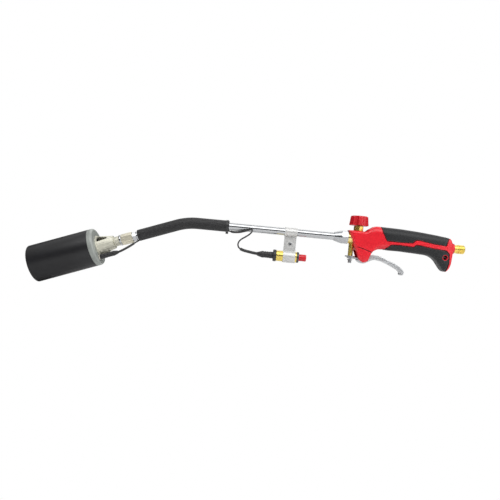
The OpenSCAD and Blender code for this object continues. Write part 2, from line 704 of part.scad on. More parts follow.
// Soft pad as a closed skin: the outline's surface and an inner one just clear of the shell
module pad(upper) {
    end_room = 0.3;
    shell_loft([for (i = [PAD_FIRST : PAD_LAST])
        let (g = RINGS[i], back = i == PAD_FIRST ? end_room : i == PAD_LAST ? -end_room : 0)
            [for (p = concat(pad_line(g, 0, upper), backwards(pad_line(g, pad_t - pad_seat, upper))))
                in_space(g, p) + [back, 0, 0]]]);
}

module pad_upper(side) {
    color(soft_black) mirror([0, side < 0 ? 1 : 0, 0]) difference() {
        pad(true);
        if (side > 0) for (at = SCREWS) across(at, 6, 3.3, 12);
    }
}

module pad_lower(side) {
    color(soft_black) mirror([0, side < 0 ? 1 : 0, 0]) difference() {
        pad(false);
        across(hang_at, 6, hang_boss_r + 0.2, 12);
        if (side > 0) for (at = SCREWS) across(at, 6, 3.3, 12);
    }
}

module grip_pad_upper_left() { pad_upper(-1); }
module grip_pad_upper_right() { pad_upper(1); }
module grip_pad_lower_left() { pad_lower(-1); }
module grip_pad_lower_right() { pad_lower(1); }

module handle_screws() {
    color("gray") for (at = SCREWS) difference() {
        union() {
            across(at, 10.45, 2.8, 1.8);
            across(at, -7, 1.45, 18);
        }
        across(at, 11.2, 1.3, 3);
    }
}

// ---------- valve ----------

module valve_body() {
    color(brass) difference() {
        union() {
            along_x(-189.2, tube_z) cylinder(r = 9.3, h = 27);
            along_x(-199, tube_z) cylinder(r = 7.9, h = 12);
            translate([knob_x, 0, tube_z]) cylinder(r = 7.6, h = 9.4);
        }
        along_x(-200, tube_z) cylinder(r = tube_d / 2 + gap, h = 9.6);
        along_x(-195, tube_z) cylinder(r = 2.5, h = 25);
        along_x(-171, 0) cylinder(r = 4.05, h = 20);
        translate([knob_x, 0, 6]) cylinder(r = 5.55, h = 10);
        translate([knob_x, 0, 0]) cylinder(r = 1.9, h = 8);
        translate([plunger_x, 0, -10]) cylinder(r = plunger_tube_d / 2 + gap, h = 6.8);
        translate([plunger_x, 0, -10]) cylinder(r = plunger_bore_r, h = 9.3);
        translate([plunger_x, 0, -4]) cylinder(r = 1.5, h = 6);
    }
}

module gas_pipe() { color(brass) along_x(-170.8) pipe(8, 5.6, 146.6); }

module inlet_fitting() {
    color(brass) difference() {
        union() {
            along_x(-34) cylinder(r = 6, h = 20);
            along_x(-30) cylinder(r = 7.4, h = 4);
            along_x(inlet_shoulder_x + 0.1) cylinder(r = 6.6, h = 5);
            along_x(-thread_len) cylinder(d = inlet_d, h = thread_len);
        }
        along_x(-35) cylinder(r = 4.05, h = 11);
        along_x(-35) cylinder(r = 3, h = 40);
        along_x(-5) cylinder(r1 = 3, r2 = 5.2, h = 5.01);
    }
}

module valve_gland() {
    color(brass) translate([knob_x, 0, 0]) difference() {
        union() {
            translate([0, 0, 7]) cylinder(r = 5.5, h = 8);
            translate([0, 0, gland_z]) rotate([0, 0, 30]) hex(14, 7.8);
        }
        translate([0, 0, 6]) cylinder(d = spindle_d + 0.1, h = 20);
        translate([0, 0, 17]) cylinder(r = 4.6, h = 2);
    }
}

module gland_o_ring() {
    color("black") translate([knob_x, 0, 18]) rotate_extrude() translate([3.82, 0]) circle(r = 0.75);
}

module needle_spindle() {
    color(steel) translate([knob_x, 0, 0]) {
        translate([0, 0, 4.2]) cylinder(r1 = 0.6, r2 = 1.7, h = 3);
        translate([0, 0, 7.2]) cylinder(d = spindle_d, h = 26.8);
    }
}

module control_knob() {
    top_r = knob_d / 2 - 1.75;
    flute_r = 5;
    color("firebrick") translate([knob_x, 0, knob_z]) difference() {
        union() {
            cylinder(r1 = knob_d / 2 - 0.6, r2 = knob_d / 2, h = 0.6);
            translate([0, 0, 0.6]) cylinder(r1 = knob_d / 2, r2 = top_r + 0.2, h = knob_h - 2.1);
            translate([0, 0, knob_h - 1.5]) cylinder(r1 = top_r + 0.2, r2 = top_r - 1.3, h = 1.5);
        }
        for (i = [0 : flutes - 1]) rotate([0, 0, i * 360 / flutes])
            translate([knob_d / 2 + 1.9, 0, -over]) cylinder(r = flute_r, h = 20);
        translate([0, 0, -over]) cylinder(d = spindle_d + 0.1, h = 11.9);
        translate([0, 0, -over]) cylinder(r = 1.6, h = 20);
        translate([0, 0, knob_h - 2.6]) cylinder(r = 5, h = 5);
    }
}

module knob_screw() {
    color("gray") translate([knob_x, 0, knob_z + knob_h - 2.55]) difference() {
        union() {
            cylinder(r1 = 3, r2 = 2.6, h = 1.9);
            translate([0, 0, -1.6]) cylinder(r = 1.5, h = 2);
        }
        for (a = [0, 90]) rotate([0, 0, a]) translate([-1.8, -0.4, 1]) cube([3.6, 0.8, 3]);
    }
}

// ---------- trigger ----------

module plunger_tube() {
    color(brass) translate([plunger_x, 0, plunger_tube_z[0]]) difference() {
        cylinder(d = plunger_tube_d, h = plunger_tube_z[1] - plunger_tube_z[0]);
        translate([0, 0, -over]) cylinder(r = stem_r + gap, h = 10);
        translate([0, 0, 2]) cylinder(r = plunger_bore_r, h = 40);
    }
}

module plunger_stem() {
    color(steel) translate([plunger_x, 0, 0]) {
        translate([0, 0, -37.9]) cylinder(r = stem_r, h = 34);
        translate([0, 0, -4.7]) cylinder(r = 3, h = 2);
    }
}

module plunger_seal() { color("black") translate([plunger_x, 0, -2.65]) cylinder(r = 2.9, h = 1.7); }

module plunger_spring() {
    color("gray") translate([plunger_x, 0, 0])
        coil_spring(2.6, 0.38, plunger_tube_z[0] + 2.05, -4.8, 9);
}

module plunger_washer() {
    color("black") translate([plunger_x, 0, plunger_tube_z[0] - washer_t - 0.02])
        pipe(16.5, 4.5, washer_t);
}

module plunger_nut() {
    color(steel) translate([plunger_x, 0, -38.2]) difference() {
        union() {
            cylinder(r = 2.7, h = 5.9);
            translate([0, 0, 4.4]) cylinder(r = 4, h = 1.5);
        }
        translate([0, 0, 0.29]) cylinder(r = stem_r + 0.02, h = 10);
        translate([-5, -0.5, -over]) cube([10, 1, over + 0.2]);
    }
}

module trigger_lever() {
    sheet = 1.6;
    top_edge = smooth(LEVER_TOP, 3);
    bottom_edge = smooth(LEVER_BOTTOM, 3);
    floor_edge = [for (p = backwards(bottom_edge)) p + [0.5, sheet]];
    color(steel) difference() {
        union() {
            difference() {
                rotate([90, 0, 0]) linear_extrude(lever_w, center = true)
                    polygon(concat(top_edge, bottom_edge));
                rotate([90, 0, 0]) linear_extrude(lever_w - 2 * sheet, center = true)
                    polygon(concat(floor_edge, [[-92, 0], [-172, 0]]));
            }
            translate([0, 0, fork_z]) linear_extrude(fork_t)
                polygon([[-187, -4], [-178, -4], [-172, -lever_w / 2], [-168.5, -lever_w / 2],
                    [-168.5, lever_w / 2], [-172, lever_w / 2], [-178, 4], [-187, 4]]);
        }
        across(pivot_at, -lever_w, pin_d / 2 + gap, 2 * lever_w);
        translate([plunger_x, 0, fork_z - over]) cylinder(r = 2.3, h = 5);
        translate([-190, -2.3, fork_z - over]) cube([190 + plunger_x, 4.6, 5]);
    }
}

module trigger_pin() {
    color("gray") across(pivot_at, -pin_half, pin_d / 2, 2 * pin_half);
}

burner_bell();
bell_back_plate();
mixing_tube();
flame_spreader();
air_cage();
gas_jet();
jet_holder();
lock_ring();
head_coupling();
front_tube_nut();
front_olive();
electrode_rod();
electrode_insulator();
electrode_boot();
ignition_lead();
lead_sleeving_front();
lead_sleeving_rear();
lead_heat_shrink();
lance_tube();
foam_sleeve();
sleeve_tie();
rear_tube_nut();
rear_olive();
igniter_bracket();
bracket_screw();
bracket_nut();
igniter_barrel();
igniter_end_cap();
igniter_boot();
igniter_collar();
igniter_button();
piezo_module();
piezo_plunger();
handle_shell_left();
handle_shell_right();
grip_pad_upper_left();
grip_pad_upper_right();
grip_pad_lower_left();
grip_pad_lower_right();
handle_screws();
valve_body();
gas_pipe();
inlet_fitting();
valve_gland();
gland_o_ring();
needle_spindle();
control_knob();
knob_screw();
plunger_tube();
plunger_stem();
plunger_seal();
plunger_spring();
plunger_washer();
plunger_nut();
trigger_lever();
trigger_pin();
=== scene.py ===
"""Looks of the propane torch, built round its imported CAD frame. Lengths are in millimetres
until a mesh or an object is made, which is in metres, in the row frame."""
import json
import math

import bmesh
import bpy
import numpy as np
from mathutils import Matrix, Vector


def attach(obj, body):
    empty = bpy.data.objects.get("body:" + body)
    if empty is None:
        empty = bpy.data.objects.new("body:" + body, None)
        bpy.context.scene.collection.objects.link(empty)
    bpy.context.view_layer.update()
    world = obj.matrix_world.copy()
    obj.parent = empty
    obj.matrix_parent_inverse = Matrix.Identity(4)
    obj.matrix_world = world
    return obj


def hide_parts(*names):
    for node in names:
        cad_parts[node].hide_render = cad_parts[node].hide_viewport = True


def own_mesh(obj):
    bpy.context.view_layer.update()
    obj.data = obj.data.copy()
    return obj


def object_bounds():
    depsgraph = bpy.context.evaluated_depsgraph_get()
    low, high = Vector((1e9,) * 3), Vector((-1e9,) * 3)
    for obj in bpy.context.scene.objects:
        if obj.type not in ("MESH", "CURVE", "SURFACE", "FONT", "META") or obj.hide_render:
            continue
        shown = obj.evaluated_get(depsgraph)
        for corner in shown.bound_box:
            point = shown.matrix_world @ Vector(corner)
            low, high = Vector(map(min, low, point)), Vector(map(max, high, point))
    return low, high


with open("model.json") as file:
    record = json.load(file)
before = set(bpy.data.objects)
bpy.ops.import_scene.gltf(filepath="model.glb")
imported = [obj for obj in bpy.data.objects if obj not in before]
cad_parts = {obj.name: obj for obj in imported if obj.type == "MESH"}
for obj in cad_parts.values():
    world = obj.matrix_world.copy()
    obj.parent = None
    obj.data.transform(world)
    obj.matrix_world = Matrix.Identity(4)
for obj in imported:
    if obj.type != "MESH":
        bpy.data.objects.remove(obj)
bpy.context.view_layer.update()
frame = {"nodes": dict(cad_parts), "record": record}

MM = 0.001
PI = math.pi
SLOT = {part["node"]: part["material_slot"] for part in frame["record"]["subparts"]}
BODY = {node: body for body, nodes in frame["record"]["behaviour"]["bodies"].items()
        for node in nodes}

SEAM = 0.05   # clearance between pieces that meet

# The lance, as in the CAD source. A name in _S is a distance ahead of the bend point.
BEND_X, TUBE_Z = -450.5, 2.3
BEND = math.radians(20.5)
BEND_R = 97.0
TANGENT = BEND_R * math.tan(BEND / 2)
TUBE_R, TUBE_WALL = 6.0, 1.0
TUBE_REAR_X = -190.5
FOAM_R = 9.2
FOAM_FRONT_S, FOAM_REAR_X = 82.0, -382.0
NUT_S, COUPLING_S, RING_S, HOLDER_S, CAGE_S = 84.5, 91.0, 109.0, 112.5, 121.5
PLATE_S, PLATE_RIM, MOUTH_S = 148.5, 8.5, 256.0
MOUTH_R, BELL_WALL = 30.15, 1.5
ELECTRODE = (-18, -13)   # up from the bell's axis, and to its right
LEAD_R, SLEEVING_R, SHRINK_R = 1.2, 1.9, 2.4
LEAD_RIDE = TUBE_R + 1.4   # how far the lead lies from the tube's axis in the sleeve

# Igniter, valve and trigger
IGNITER_Z, BARREL_R, BARREL_X = -37.5, 8.5, (-302.0, -269.0)
BUTTON_END_X = -253.4
BRACKET_X, STRAP = (-291.4, -271.4), 1.3
BRACKET_SCREW = (-281, -16.7)
KNOB_X, KNOB_Z, KNOB_H, KNOB_R = -173.0, 23.2, 15.3, 15.5
FLUTES, FLUTE_R, FLUTE_OUT = 6, 5.0, 1.9
PLUNGER_X, PLUNGER_TUBE_Z = -182.5, (-26.7, -3.3)
PIVOT = (-163.0, -26.7)
PIN_R, PIN_HALF = 2.0, 12.3
LEVER_ROOM = 8.8   # half the width of the opening for the lever

# Handle
HANG_HOLE, HANG_R, HANG_BOSS_R = (-33.4, -15.7), 3.0, 4.5
SCREWS = [(-152, 10), (-110, 14), (-62, 9), (-35, -25), (-157, -12)]
PILOT_R, SHANK_R, WELL_R, PAD_HOLE_R, POST_R = 1.5, 1.6, 3.1, 3.3, 3.5   # at each screw
PAD_DEPTH, GROOVE = 2.3, 1.5   # how deep the pads sit, and the groove left round them
OUTSIDE = 30.0   # beyond any side of the handle


# ---------- where things go ----------

def on_lance(s=0.0, up=0.0, side=0.0):
    """Frame on the lance's front run: Z ahead along it, X up, Y to the right-hand side."""
    c, n = math.cos(BEND), math.sin(BEND)
    at = Vector((BEND_X - s * c - up * n, side, TUBE_Z - s * n + up * c))
    return Matrix(((-n, 0, -c, at.x), (0, 1, 0, at.y), (c, 0, -n, at.z), (0, 0, 0, 1)))


def along_x(x, z=0.0):
    """Frame with Z along +X and X down."""
    return Matrix(((0, 0, 1, x), (0, 1, 0, 0), (-1, 0, 0, z), (0, 0, 0, 1)))


def upright(x, z=0.0):
    return Matrix.Translation((x, 0, z))


def across(x, z, y=0.0):
    """Frame with Z along +Y."""
    return Matrix(((1, 0, 0, x), (0, 0, 1, y), (0, -1, 0, z), (0, 0, 0, 1)))


# ---------- meshes ----------

def rounded(corners, steps=5):
    """Corners (a, b, radius) of a closed outline, each rounded by its own radius."""
    out = []
    for i, corner in enumerate(corners):
        here = Vector(corner[:2])
        radius = corner[2] if len(corner) > 2 else 0
        if not radius:
            out.append(here)
            continue
        back = Vector(corners[i - 1][:2]) - here
        on = Vector(corners[(i + 1) % len(corners)][:2]) - here
        cut = radius / max(math.tan(back.angle(on) / 2), 0.05)
        cut = min(cut, 0.49 * back.length, 0.49 * on.length)
        start, end = here + back.normalized() * cut, here + on.normalized() * cut
        for k in range(steps + 1):
            t = k / steps
            out.append(start * (1 - t) ** 2 + here * 2 * t * (1 - t) + end * t * t)
    return out


def solid(vertices, faces, name="shape"):
    mesh = bpy.data.meshes.new(name)
    mesh.from_pydata([tuple(v) for v in vertices], [], faces)
    bm = bmesh.new()
    bm.from_mesh(mesh)
    bmesh.ops.remove_doubles(bm, verts=bm.verts, dist=1e-7)
    bmesh.ops.recalc_face_normals(bm, faces=bm.faces)
    bm.to_mesh(mesh)
    bm.free()
    obj = bpy.data.objects.new(name, mesh)
    bpy.context.scene.collection.objects.link(obj)
    return obj


def loft(rows, wrap=False):
    """Skin over closed rows of points in mm: capped at both ends, or joined last to first."""
    n, m = len(rows[0]), len(rows)
    faces = []
    for i in range(m if wrap else m - 1):
        a, b = i * n, ((i + 1) % m) * n
        faces += [(a + k, a + (k + 1) % n, b + (k + 1) % n, b + k) for k in range(n)]
    if not wrap:
        faces += [tuple(range(n)), tuple(range((m - 1) * n, m * n))]
    return solid(np.concatenate([np.array(r, float) for r in rows]) * MM, faces)


def lathe(corners, place, sides=128, reach=None, steps=5):
    """Closed profile of (radius, height, rounding) turned about place's Z axis. reach gives
    the largest radius at an angle, for hexes and flutes."""
    rows = []
    for r, z in rounded(corners, steps):
        row = []
        for k in range(sides):
            t = 2 * PI * k / sides
            q = r if reach is None else min(r, reach(t, r, z))
            row.append(place @ Vector((q * math.cos(t), q * math.sin(t), z)))
        rows.append(row)
    return loft(rows, wrap=True)


def hex_reach(across_flats, turn=0.0):
    """Largest radius inside a hexagon with a corner at turn."""
    def reach(t, r, z):
        return across_flats / 2 / math.cos((t - turn) % (PI / 3) - PI / 6)
    return reach


def disc_corners(z0, z1, r, soft=0.0):
    """Profile of a plain solid cylinder."""
    return [(0, z0), (r, z0, soft), (r, z1, soft), (0, z1)]


def pipe_corners(z0, z1, r, bore, soft=0.2):
    """Profile of a plain pipe or ring."""
    return [(bore, z0), (r, z0, soft), (r, z1, soft), (bore, z1)]


def grooves(count, start, pitch, r, floor_r, slope, soft):
    """Part of a profile: grooves 2 mm wide, cut down from radius r to floor_r."""
    out = []
    for k in range(count):
        z = start + pitch * k
        out += [(r, z, soft), (floor_r, z + slope, soft),
                (floor_r, z + 2 - slope, soft), (r, z + 2, soft)]
    return out


def rod(place, r, z0, z1, sides=64):
    return lathe(disc_corners(z0, z1, r), place, sides)


def prism(outline, y0, y1):
    """Outline in X and Z, run from y0 to y1."""
    return loft([[(p[0], y, p[1]) for p in outline] for y in (y0, y1)])


def baked(obj):
    """obj with its modifiers applied."""
    graph = bpy.context.evaluated_depsgraph_get()
    old, new = obj.data, bpy.data.meshes.new_from_object(obj.evaluated_get(graph))
    obj.modifiers.clear()
    obj.data = new
    bpy.data.meshes.remove(old)
    return obj


def combine(obj, tools, how):
    for tool in tools:
        step = obj.modifiers.new(how, "BOOLEAN")
        step.object, step.operation, step.solver = tool, how, "MANIFOLD"
        baked(obj)
        bpy.data.objects.remove(tool)
    return obj


def less(obj, *tools):
    return combine(obj, tools, "DIFFERENCE")


def plus(obj, *tools):
    return combine(obj, tools, "UNION")


def within(obj, *tools):
    return combine(obj, tools, "INTERSECT")


def mirrored(obj):
    """A copy of obj, mirrored in the plane of the handle's seam."""
    mesh = obj.data.copy()
    mesh.transform(Matrix.Scale(-1, 4, (0, 1, 0)))
    mesh.flip_normals()
    new = bpy.data.objects.new("mirrored", mesh)
    bpy.context.scene.collection.objects.link(new)
    return new


def catmull(points, steps):
    """Smooth curve through points, with steps to each stretch."""
    p = np.array([points[0]] + list(points) + [points[-1]], float)
    out = []
    for a, b, c, d in zip(p, p[1:], p[2:], p[3:]):
        for k in range(steps):
            t = k / steps
            out.append(0.5 * (2 * b + (c - a) * t + (2 * a - 5 * b + 4 * c - d) * t * t
                              + (3 * b - a - 3 * c + d) * t ** 3))
    return np.array(out + [p[-1]])


def hoops(path, radius, sides=24):
    """Rings round a path, carried along it without twist. radius takes the length so far."""
    path = np.array(path, float)
    run = np.concatenate([[0], np.cumsum(np.linalg.norm(np.diff(path, axis=0), axis=1))])
    side, rows = np.array([0.13, 0.95, 0.28]), []
    for i, point in enumerate(path):
        t = path[min(i + 1, len(path) - 1)] - path[max(i - 1, 0)]
        t = t / np.linalg.norm(t)
        side = side - t * np.dot(side, t)
        side /= np.linalg.norm(side)
        up = np.cross(t, side)
        r = radius(run[i])
        rows.append([point + r * (math.cos(a) * side + math.sin(a) * up)
                     for a in np.arange(sides) * 2 * PI / sides])
    return rows


def pchip(x, y, at):
    """Monotone cubic interpolation of the rows y, given at x."""
    h = np.diff(x)[:, None]
    d = np.diff(y, axis=0) / h
    m = np.zeros_like(y)
    same = d[:-1] * d[1:] > 0
    total = np.where(same, d[:-1] + d[1:], 1)
    m[1:-1] = np.where(same, 2 * d[:-1] * d[1:] / total, 0)
    m[0], m[-1] = d[0], d[-1]
    i = np.clip(np.searchsorted(x, at, "right") - 1, 0, len(x) - 2)
    t = ((at - x[i]) / h[i, 0])[:, None]
    return ((1 + 2 * t) * (1 - t) ** 2 * y[i] + t * (1 - t) ** 2 * h[i] * m[i]
            + t * t * (3 - 2 * t) * y[i + 1] + t * t * (t - 1) * h[i] * m[i + 1])


# ---------- materials ----------

def node_tree(name):
    mat = bpy.data.materials.new(name)
    mat.use_nodes = True
    tree = mat.node_tree
    return mat, tree, tree.nodes["Principled BSDF"]


def noise(tree, vector, scale, kind="ShaderNodeTexNoise"):
    tex = tree.nodes.new(kind)
    tex.inputs["Scale"].default_value = scale
    if "Detail" in tex.inputs:
        tex.inputs["Detail"].default_value = 4.0
    tree.links.new(vector, tex.inputs["Vector"])
    return tex.outputs["Distance" if kind == "ShaderNodeTexVoronoi" else 0]


def ranged(tree, value, low, high, start=0.3, end=0.7):
    """value from start to end becomes low to high."""
    node = tree.nodes.new("ShaderNodeMapRange")
    for name, number in zip(("From Min", "From Max", "To Min", "To Max"), (start, end, low, high)):
        node.inputs[name].default_value = number
    tree.links.new(value, node.inputs["Value"])
    return node.outputs["Result"]


def mixed(tree, factor, a, b):
    """Colour a where factor is 0 and b where it is 1. Each is a colour or a link."""
    node = tree.nodes.new("ShaderNodeMix")
    node.data_type = "RGBA"
    tree.links.new(factor, node.inputs["Factor"])
    for name, colour in (("A", a), ("B", b)):
        socket = [s for s in node.inputs if s.name == name and s.type == "RGBA"][0]
        if isinstance(colour, bpy.types.NodeSocket):
            tree.links.new(colour, socket)
        else:
            socket.default_value = (*colour, 1)
    return [s for s in node.outputs if s.type == "RGBA"][0]


def on_edges(tree):
    """Factor that rises on rubbed outer edges."""
    sharp, most = (0.515, 0.6), 0.7
    edge = tree.nodes.new("ShaderNodeNewGeometry").outputs["Pointiness"]
    return ranged(tree, edge, 0, most, *sharp)


def painted_fold_shade(tree):
    """Factor of painted shade: it rises where the piece itself closes off the open air, as ambient
    occlusion does.
    """
    reach, closed, clear = 0.012, 0.5, 0.9
    air = tree.nodes.new("ShaderNodeAmbientOcclusion")
    air.samples, air.only_local = 8, True
    air.inputs["Distance"].default_value = reach
    return ranged(tree, air.outputs["AO"], 1, 0, closed, clear)


def finish(name, colour, metal=0.0, rough=0.4, mottle=0.1, mottle_scale=60.0, grain=0.06,
           grain_scale=1800.0, bump=0.15, bump_scale=2200.0, depth=0.00006,
           stretch=(1, 1, 1), wear=None, painted_shade=None, cells=False, coat=0.0, specular=0.5):
    """Material with mottled colour, uneven gloss and a fine surface. wear is the colour of its
    rubbed edges, and crevice is painted shade: the dark colour laid deep in its folds and holes,
    where shade falls."""
    mat, tree, shader = node_tree(name)
    mat.diffuse_color = (*colour, 1)
    coords = tree.nodes.new("ShaderNodeTexCoord")
    mapping = tree.nodes.new("ShaderNodeMapping")
    mapping.inputs["Scale"].default_value = stretch
    tree.links.new(coords.outputs["Object"], mapping.inputs["Vector"])
    plain, drawn = coords.outputs["Object"], mapping.outputs["Vector"]
    dark = tuple(c * (1 - mottle) for c in colour)
    light = tuple(min(1, c * (1 + mottle)) for c in colour)
    base = mixed(tree, ranged(tree, noise(tree, plain, mottle_scale), 0, 1), dark, light)
    if wear:
        base = mixed(tree, on_edges(tree), base, wear)
    # Painted shade: the ambient occlusion factor mixes the dark crevice colour into the base where
    # the piece closes in on itself.
    if painted_shade:
        base = mixed(tree, painted_fold_shade(tree), base, painted_shade)
    tree.links.new(base, shader.inputs["Base Color"])
    gloss = ranged(tree, noise(tree, drawn, grain_scale), rough - grain, rough + grain)
    tree.links.new(gloss, shader.inputs["Roughness"])
    relief = tree.nodes.new("ShaderNodeBump")
    relief.inputs["Strength"].default_value = bump
    relief.inputs["Distance"].default_value = depth
    kind = "ShaderNodeTexVoronoi" if cells else "ShaderNodeTexNoise"
    tree.links.new(noise(tree, drawn, bump_scale, kind=kind), relief.inputs["Height"])
    tree.links.new(relief.outputs["Normal"], shader.inputs["Normal"])
    shader.inputs["Metallic"].default_value = metal
    shader.inputs["Coat Weight"].default_value = coat
    shader.inputs["Specular IOR Level"].default_value = specular
    return mat


LOOKS = {
    "bell_black": dict(
        colour=(0.0125, 0.0125, 0.014), rough=0.34, mottle=0.16, bump=0.3, bump_scale=1500,
        wear=(0.11, 0.11, 0.115), specular=0.4),
    "plate_grey": dict(
        colour=(0.29, 0.31, 0.29), metal=0.15, rough=0.42, bump=0.25, wear=(0.6, 0.6, 0.58)),
    "cast_alloy": dict(
        colour=(0.56, 0.55, 0.46), metal=0.35, rough=0.5, bump=0.6, bump_scale=900, depth=0.00012,
        wear=(0.72, 0.71, 0.64)),
    "plated_steel": dict(
        colour=(0.46, 0.47, 0.48), metal=1, rough=0.18, mottle=0.03, grain=0.03, bump=0.05,
        stretch=(0.04, 1, 1)),
    "zinc_steel": dict(
        colour=(0.41, 0.42, 0.43), metal=1, rough=0.22, mottle=0.06, grain=0.07, bump=0.12,
        stretch=(0.06, 1, 1)),
    "lever_steel": dict(
        colour=(0.49, 0.50, 0.51), metal=0.7, rough=0.38, mottle=0.06, grain=0.08, bump=0.15,
        stretch=(0.06, 1, 1)),
    "bracket_steel": dict(
        colour=(0.56, 0.56, 0.55), metal=0.5, rough=0.45, mottle=0.06, grain=0.08, bump=0.2,
        wear=(0.75, 0.75, 0.74)),
    "nickel": dict(
        colour=(0.68, 0.64, 0.51), metal=0.6, rough=0.36, mottle=0.06, bump=0.15,
        wear=(0.8, 0.77, 0.66)),
    "brass": dict(
        colour=(0.76, 0.58, 0.13), metal=0.85, rough=0.28, mottle=0.08, grain=0.05, bump=0.12,
        stretch=(1, 0.1, 0.1), wear=(0.85, 0.72, 0.35)),
    "dark_steel": dict(colour=(0.09, 0.09, 0.095), metal=1, rough=0.38, wear=(0.3, 0.3, 0.3)),
    "ceramic_white": dict(colour=(0.45, 0.43, 0.38), rough=0.2, mottle=0.04, bump=0.06, coat=0.4),
    "black_rubber": dict(
        colour=(0.014, 0.014, 0.015), rough=0.5, bump=0.3, bump_scale=1400,
        wear=(0.05, 0.05, 0.052)),
    "black_foam": dict(
        colour=(0.0105, 0.0105, 0.0115), rough=0.6, mottle=0.3, mottle_scale=150, bump=0.7,
        bump_scale=1600, depth=0.00022, cells=True),
    "black_plastic": dict(
        colour=(0.016, 0.016, 0.017), rough=0.42, bump=0.2, wear=(0.06, 0.06, 0.062)),
    "ivory_plastic": dict(colour=(0.62, 0.57, 0.43), rough=0.38, mottle=0.05),
    # red_plastic carries painted shade: its crevice colour darkens the grooves, holes and corners
    # of the shells.
    "red_plastic": dict(
        colour=(0.66, 0.0068, 0.018), rough=0.34, mottle=0.05, grain=0.05, bump=0.12,
        bump_scale=1500, wear=(0.82, 0.04, 0.06), painted_shade=(0.10, 0.001, 0.003)),
    # knob_red carries painted shade: its crevice colour darkens the knob's flutes.
    "knob_red": dict(
        colour=(0.52, 0.006, 0.014), rough=0.36, mottle=0.06, bump=0.18, bump_scale=1500,
        wear=(0.75, 0.04, 0.06), painted_shade=(0.09, 0.001, 0.002)),
    "button_red": dict(
        colour=(0.52, 0.001, 0.010), rough=0.24, mottle=0.04, bump=0.08, wear=(0.8, 0.05, 0.07)),
    "grip_grey": dict(
        colour=(0.0095, 0.0105, 0.0115), rough=0.5, mottle=0.12, specular=0.35, bump=0.55,
        bump_scale=1300, depth=0.0001, wear=(0.07, 0.072, 0.075)),
}
MATERIALS = {name: finish(name, **look) for name, look in LOOKS.items()}


def piece(node, obj, crease=32.0, look=None):
    """Stands obj in for a CAD node, whose name gives its body, slot and material."""
    obj.name = node + "_fine"
    obj.data.materials.clear()
    obj.data.materials.append(MATERIALS[look or SLOT[node]])
    obj.data.shade_smooth()
    obj.data.set_sharp_from_angle(angle=math.radians(crease))
    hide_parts(node)
    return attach(obj, BODY[node])


# ---------- camera ----------

def add_camera():
    """Looks along +Y at the left-hand side, from close by and rolled so that the lance slopes."""
    data = bpy.data.cameras.new("camera")
    data.lens, data.sensor_width = 36.2, 36
    data.clip_start, data.clip_end = 0.05, 30
    camera = bpy.data.objects.new("camera", data)
    x, y, z = -0.3448, -0.815, -0.0326
    roll = math.radians(5.4)
    c, s = math.cos(roll), math.sin(roll)
    camera.matrix_world = Matrix(((c, -s, 0, x), (0, 0, -1, y), (s, c, 0, z), (0, 0, 0, 1)))
    bpy.context.scene.collection.objects.link(camera)
    bpy.context.scene.camera = camera


# ---------- the ignition lead ----------

LEAD_FRONT = [(-562, -13, -58.7), (-553.4, -13, -55.4), (-548.5, -12, -52.6),
              (-542, -9.8, -48), (-536.5, -7, -43.6), (-532, -3.9, -39.4),
              (-529.2, -2, -37.1), (-527, -0.7, -35.4), (-524.5, -0.2, -33.4),
              (-520, 0, -31.6)]
LEAD_REAR = [(-382, 0, -5.1), (-378, 0, -5.8), (-374, -1, -6.2), (-366, -3.5, -5.6),
             (-359, -6.2, -3.9), (-352, -8.4, -1.5), (-347, -10.5, -0.1),
             (-344.2, -13, -0.5), (-344.5, -14.5, -3.4), (-347, -13.8, -6.9),
             (-350.5, -11.8, -9.9), (-355, -9.5, -13.1), (-360, -7.5, -16.5),
             (-363.6, -5.8, -20.5), (-365, -4.2, -25.2), (-363.8, -3, -29.3),
             (-360.5, -2, -32.3), (-355, -1, -34.1), (-348, -0.3, -35.4),
             (-340, 0, -36.6), (-332, 0, -37.4), (-326, 0, -37.5)]


def lead_in_sleeve():
    """The stretch of the lead under the foam sleeve, along the lance and round its bend."""
    front = [tuple(on_lance(s, up=-LEAD_RIDE).translation) for s in (70, 61, 52, 43, 34, 25)]
    arc_r, steps = BEND_R - LEAD_RIDE, 5
    bend = [(BEND_X + TANGENT - arc_r * math.sin(BEND * k / steps), 0,
             TUBE_Z - BEND_R + arc_r * math.cos(BEND * k / steps)) for k in range(steps, -1, -1)]
    return front + bend + [(x, 0, TUBE_Z - LEAD_RIDE) for x in (-424, -416, -408, -400, -391)]


def ribbed_sleeve(path, r, rib):
    """Sleeve round a stretch of the lead, with ribs of that depth, or smooth where it is 0."""
    pitch = 1.15

    def outside(run):
        return r - rib * (0.5 - 0.5 * math.cos(2 * PI * run / pitch))

    def inside(run):
        return LEAD_R + SEAM
    return loft(hoops(path, outside) + hoops(path, inside)[::-1], wrap=True)


def add_lead():
    """The lead as one free cord, with the sleeving at both ends and the heat shrink on it."""
    route = LEAD_FRONT + lead_in_sleeve() + LEAD_REAR
    fine = catmull(route, 4)
    curve = bpy.data.curves.new("lead", "CURVE")
    curve.dimensions = "3D"
    curve.bevel_depth, curve.bevel_resolution, curve.use_fill_caps = LEAD_R * MM, 4, True
    spline = curve.splines.new("POLY")
    spline.points.add(len(fine) - 1)
    for point, p in zip(spline.points, fine):
        point.co = (*(p * MM), 1)
    lead = bpy.data.objects.new("ignition_lead_fine", curve)
    bpy.context.scene.collection.objects.link(lead)
    curve.materials.append(MATERIALS[SLOT["ignition_lead"]])
    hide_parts("ignition_lead")
    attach(lead, BODY["ignition_lead"])

    rear = len(route) - len(LEAD_REAR)
    shrink = len(route) - 6
    for node, first, r, rib, steps in (
            ("lead_sleeving_front", 1, SLEEVING_R, 0.16, 40),
            ("lead_sleeving_rear", rear + 1, SLEEVING_R, 0.16, 40),
            ("lead_heat_shrink", shrink, SHRINK_R, 0.0, 8)):
        path = catmull(route[first:first + 5], steps)
        piece(node, ribbed_sleeve(path, r, rib), crease=50)


add_camera()
add_lead()


# ---------- burner head ----------

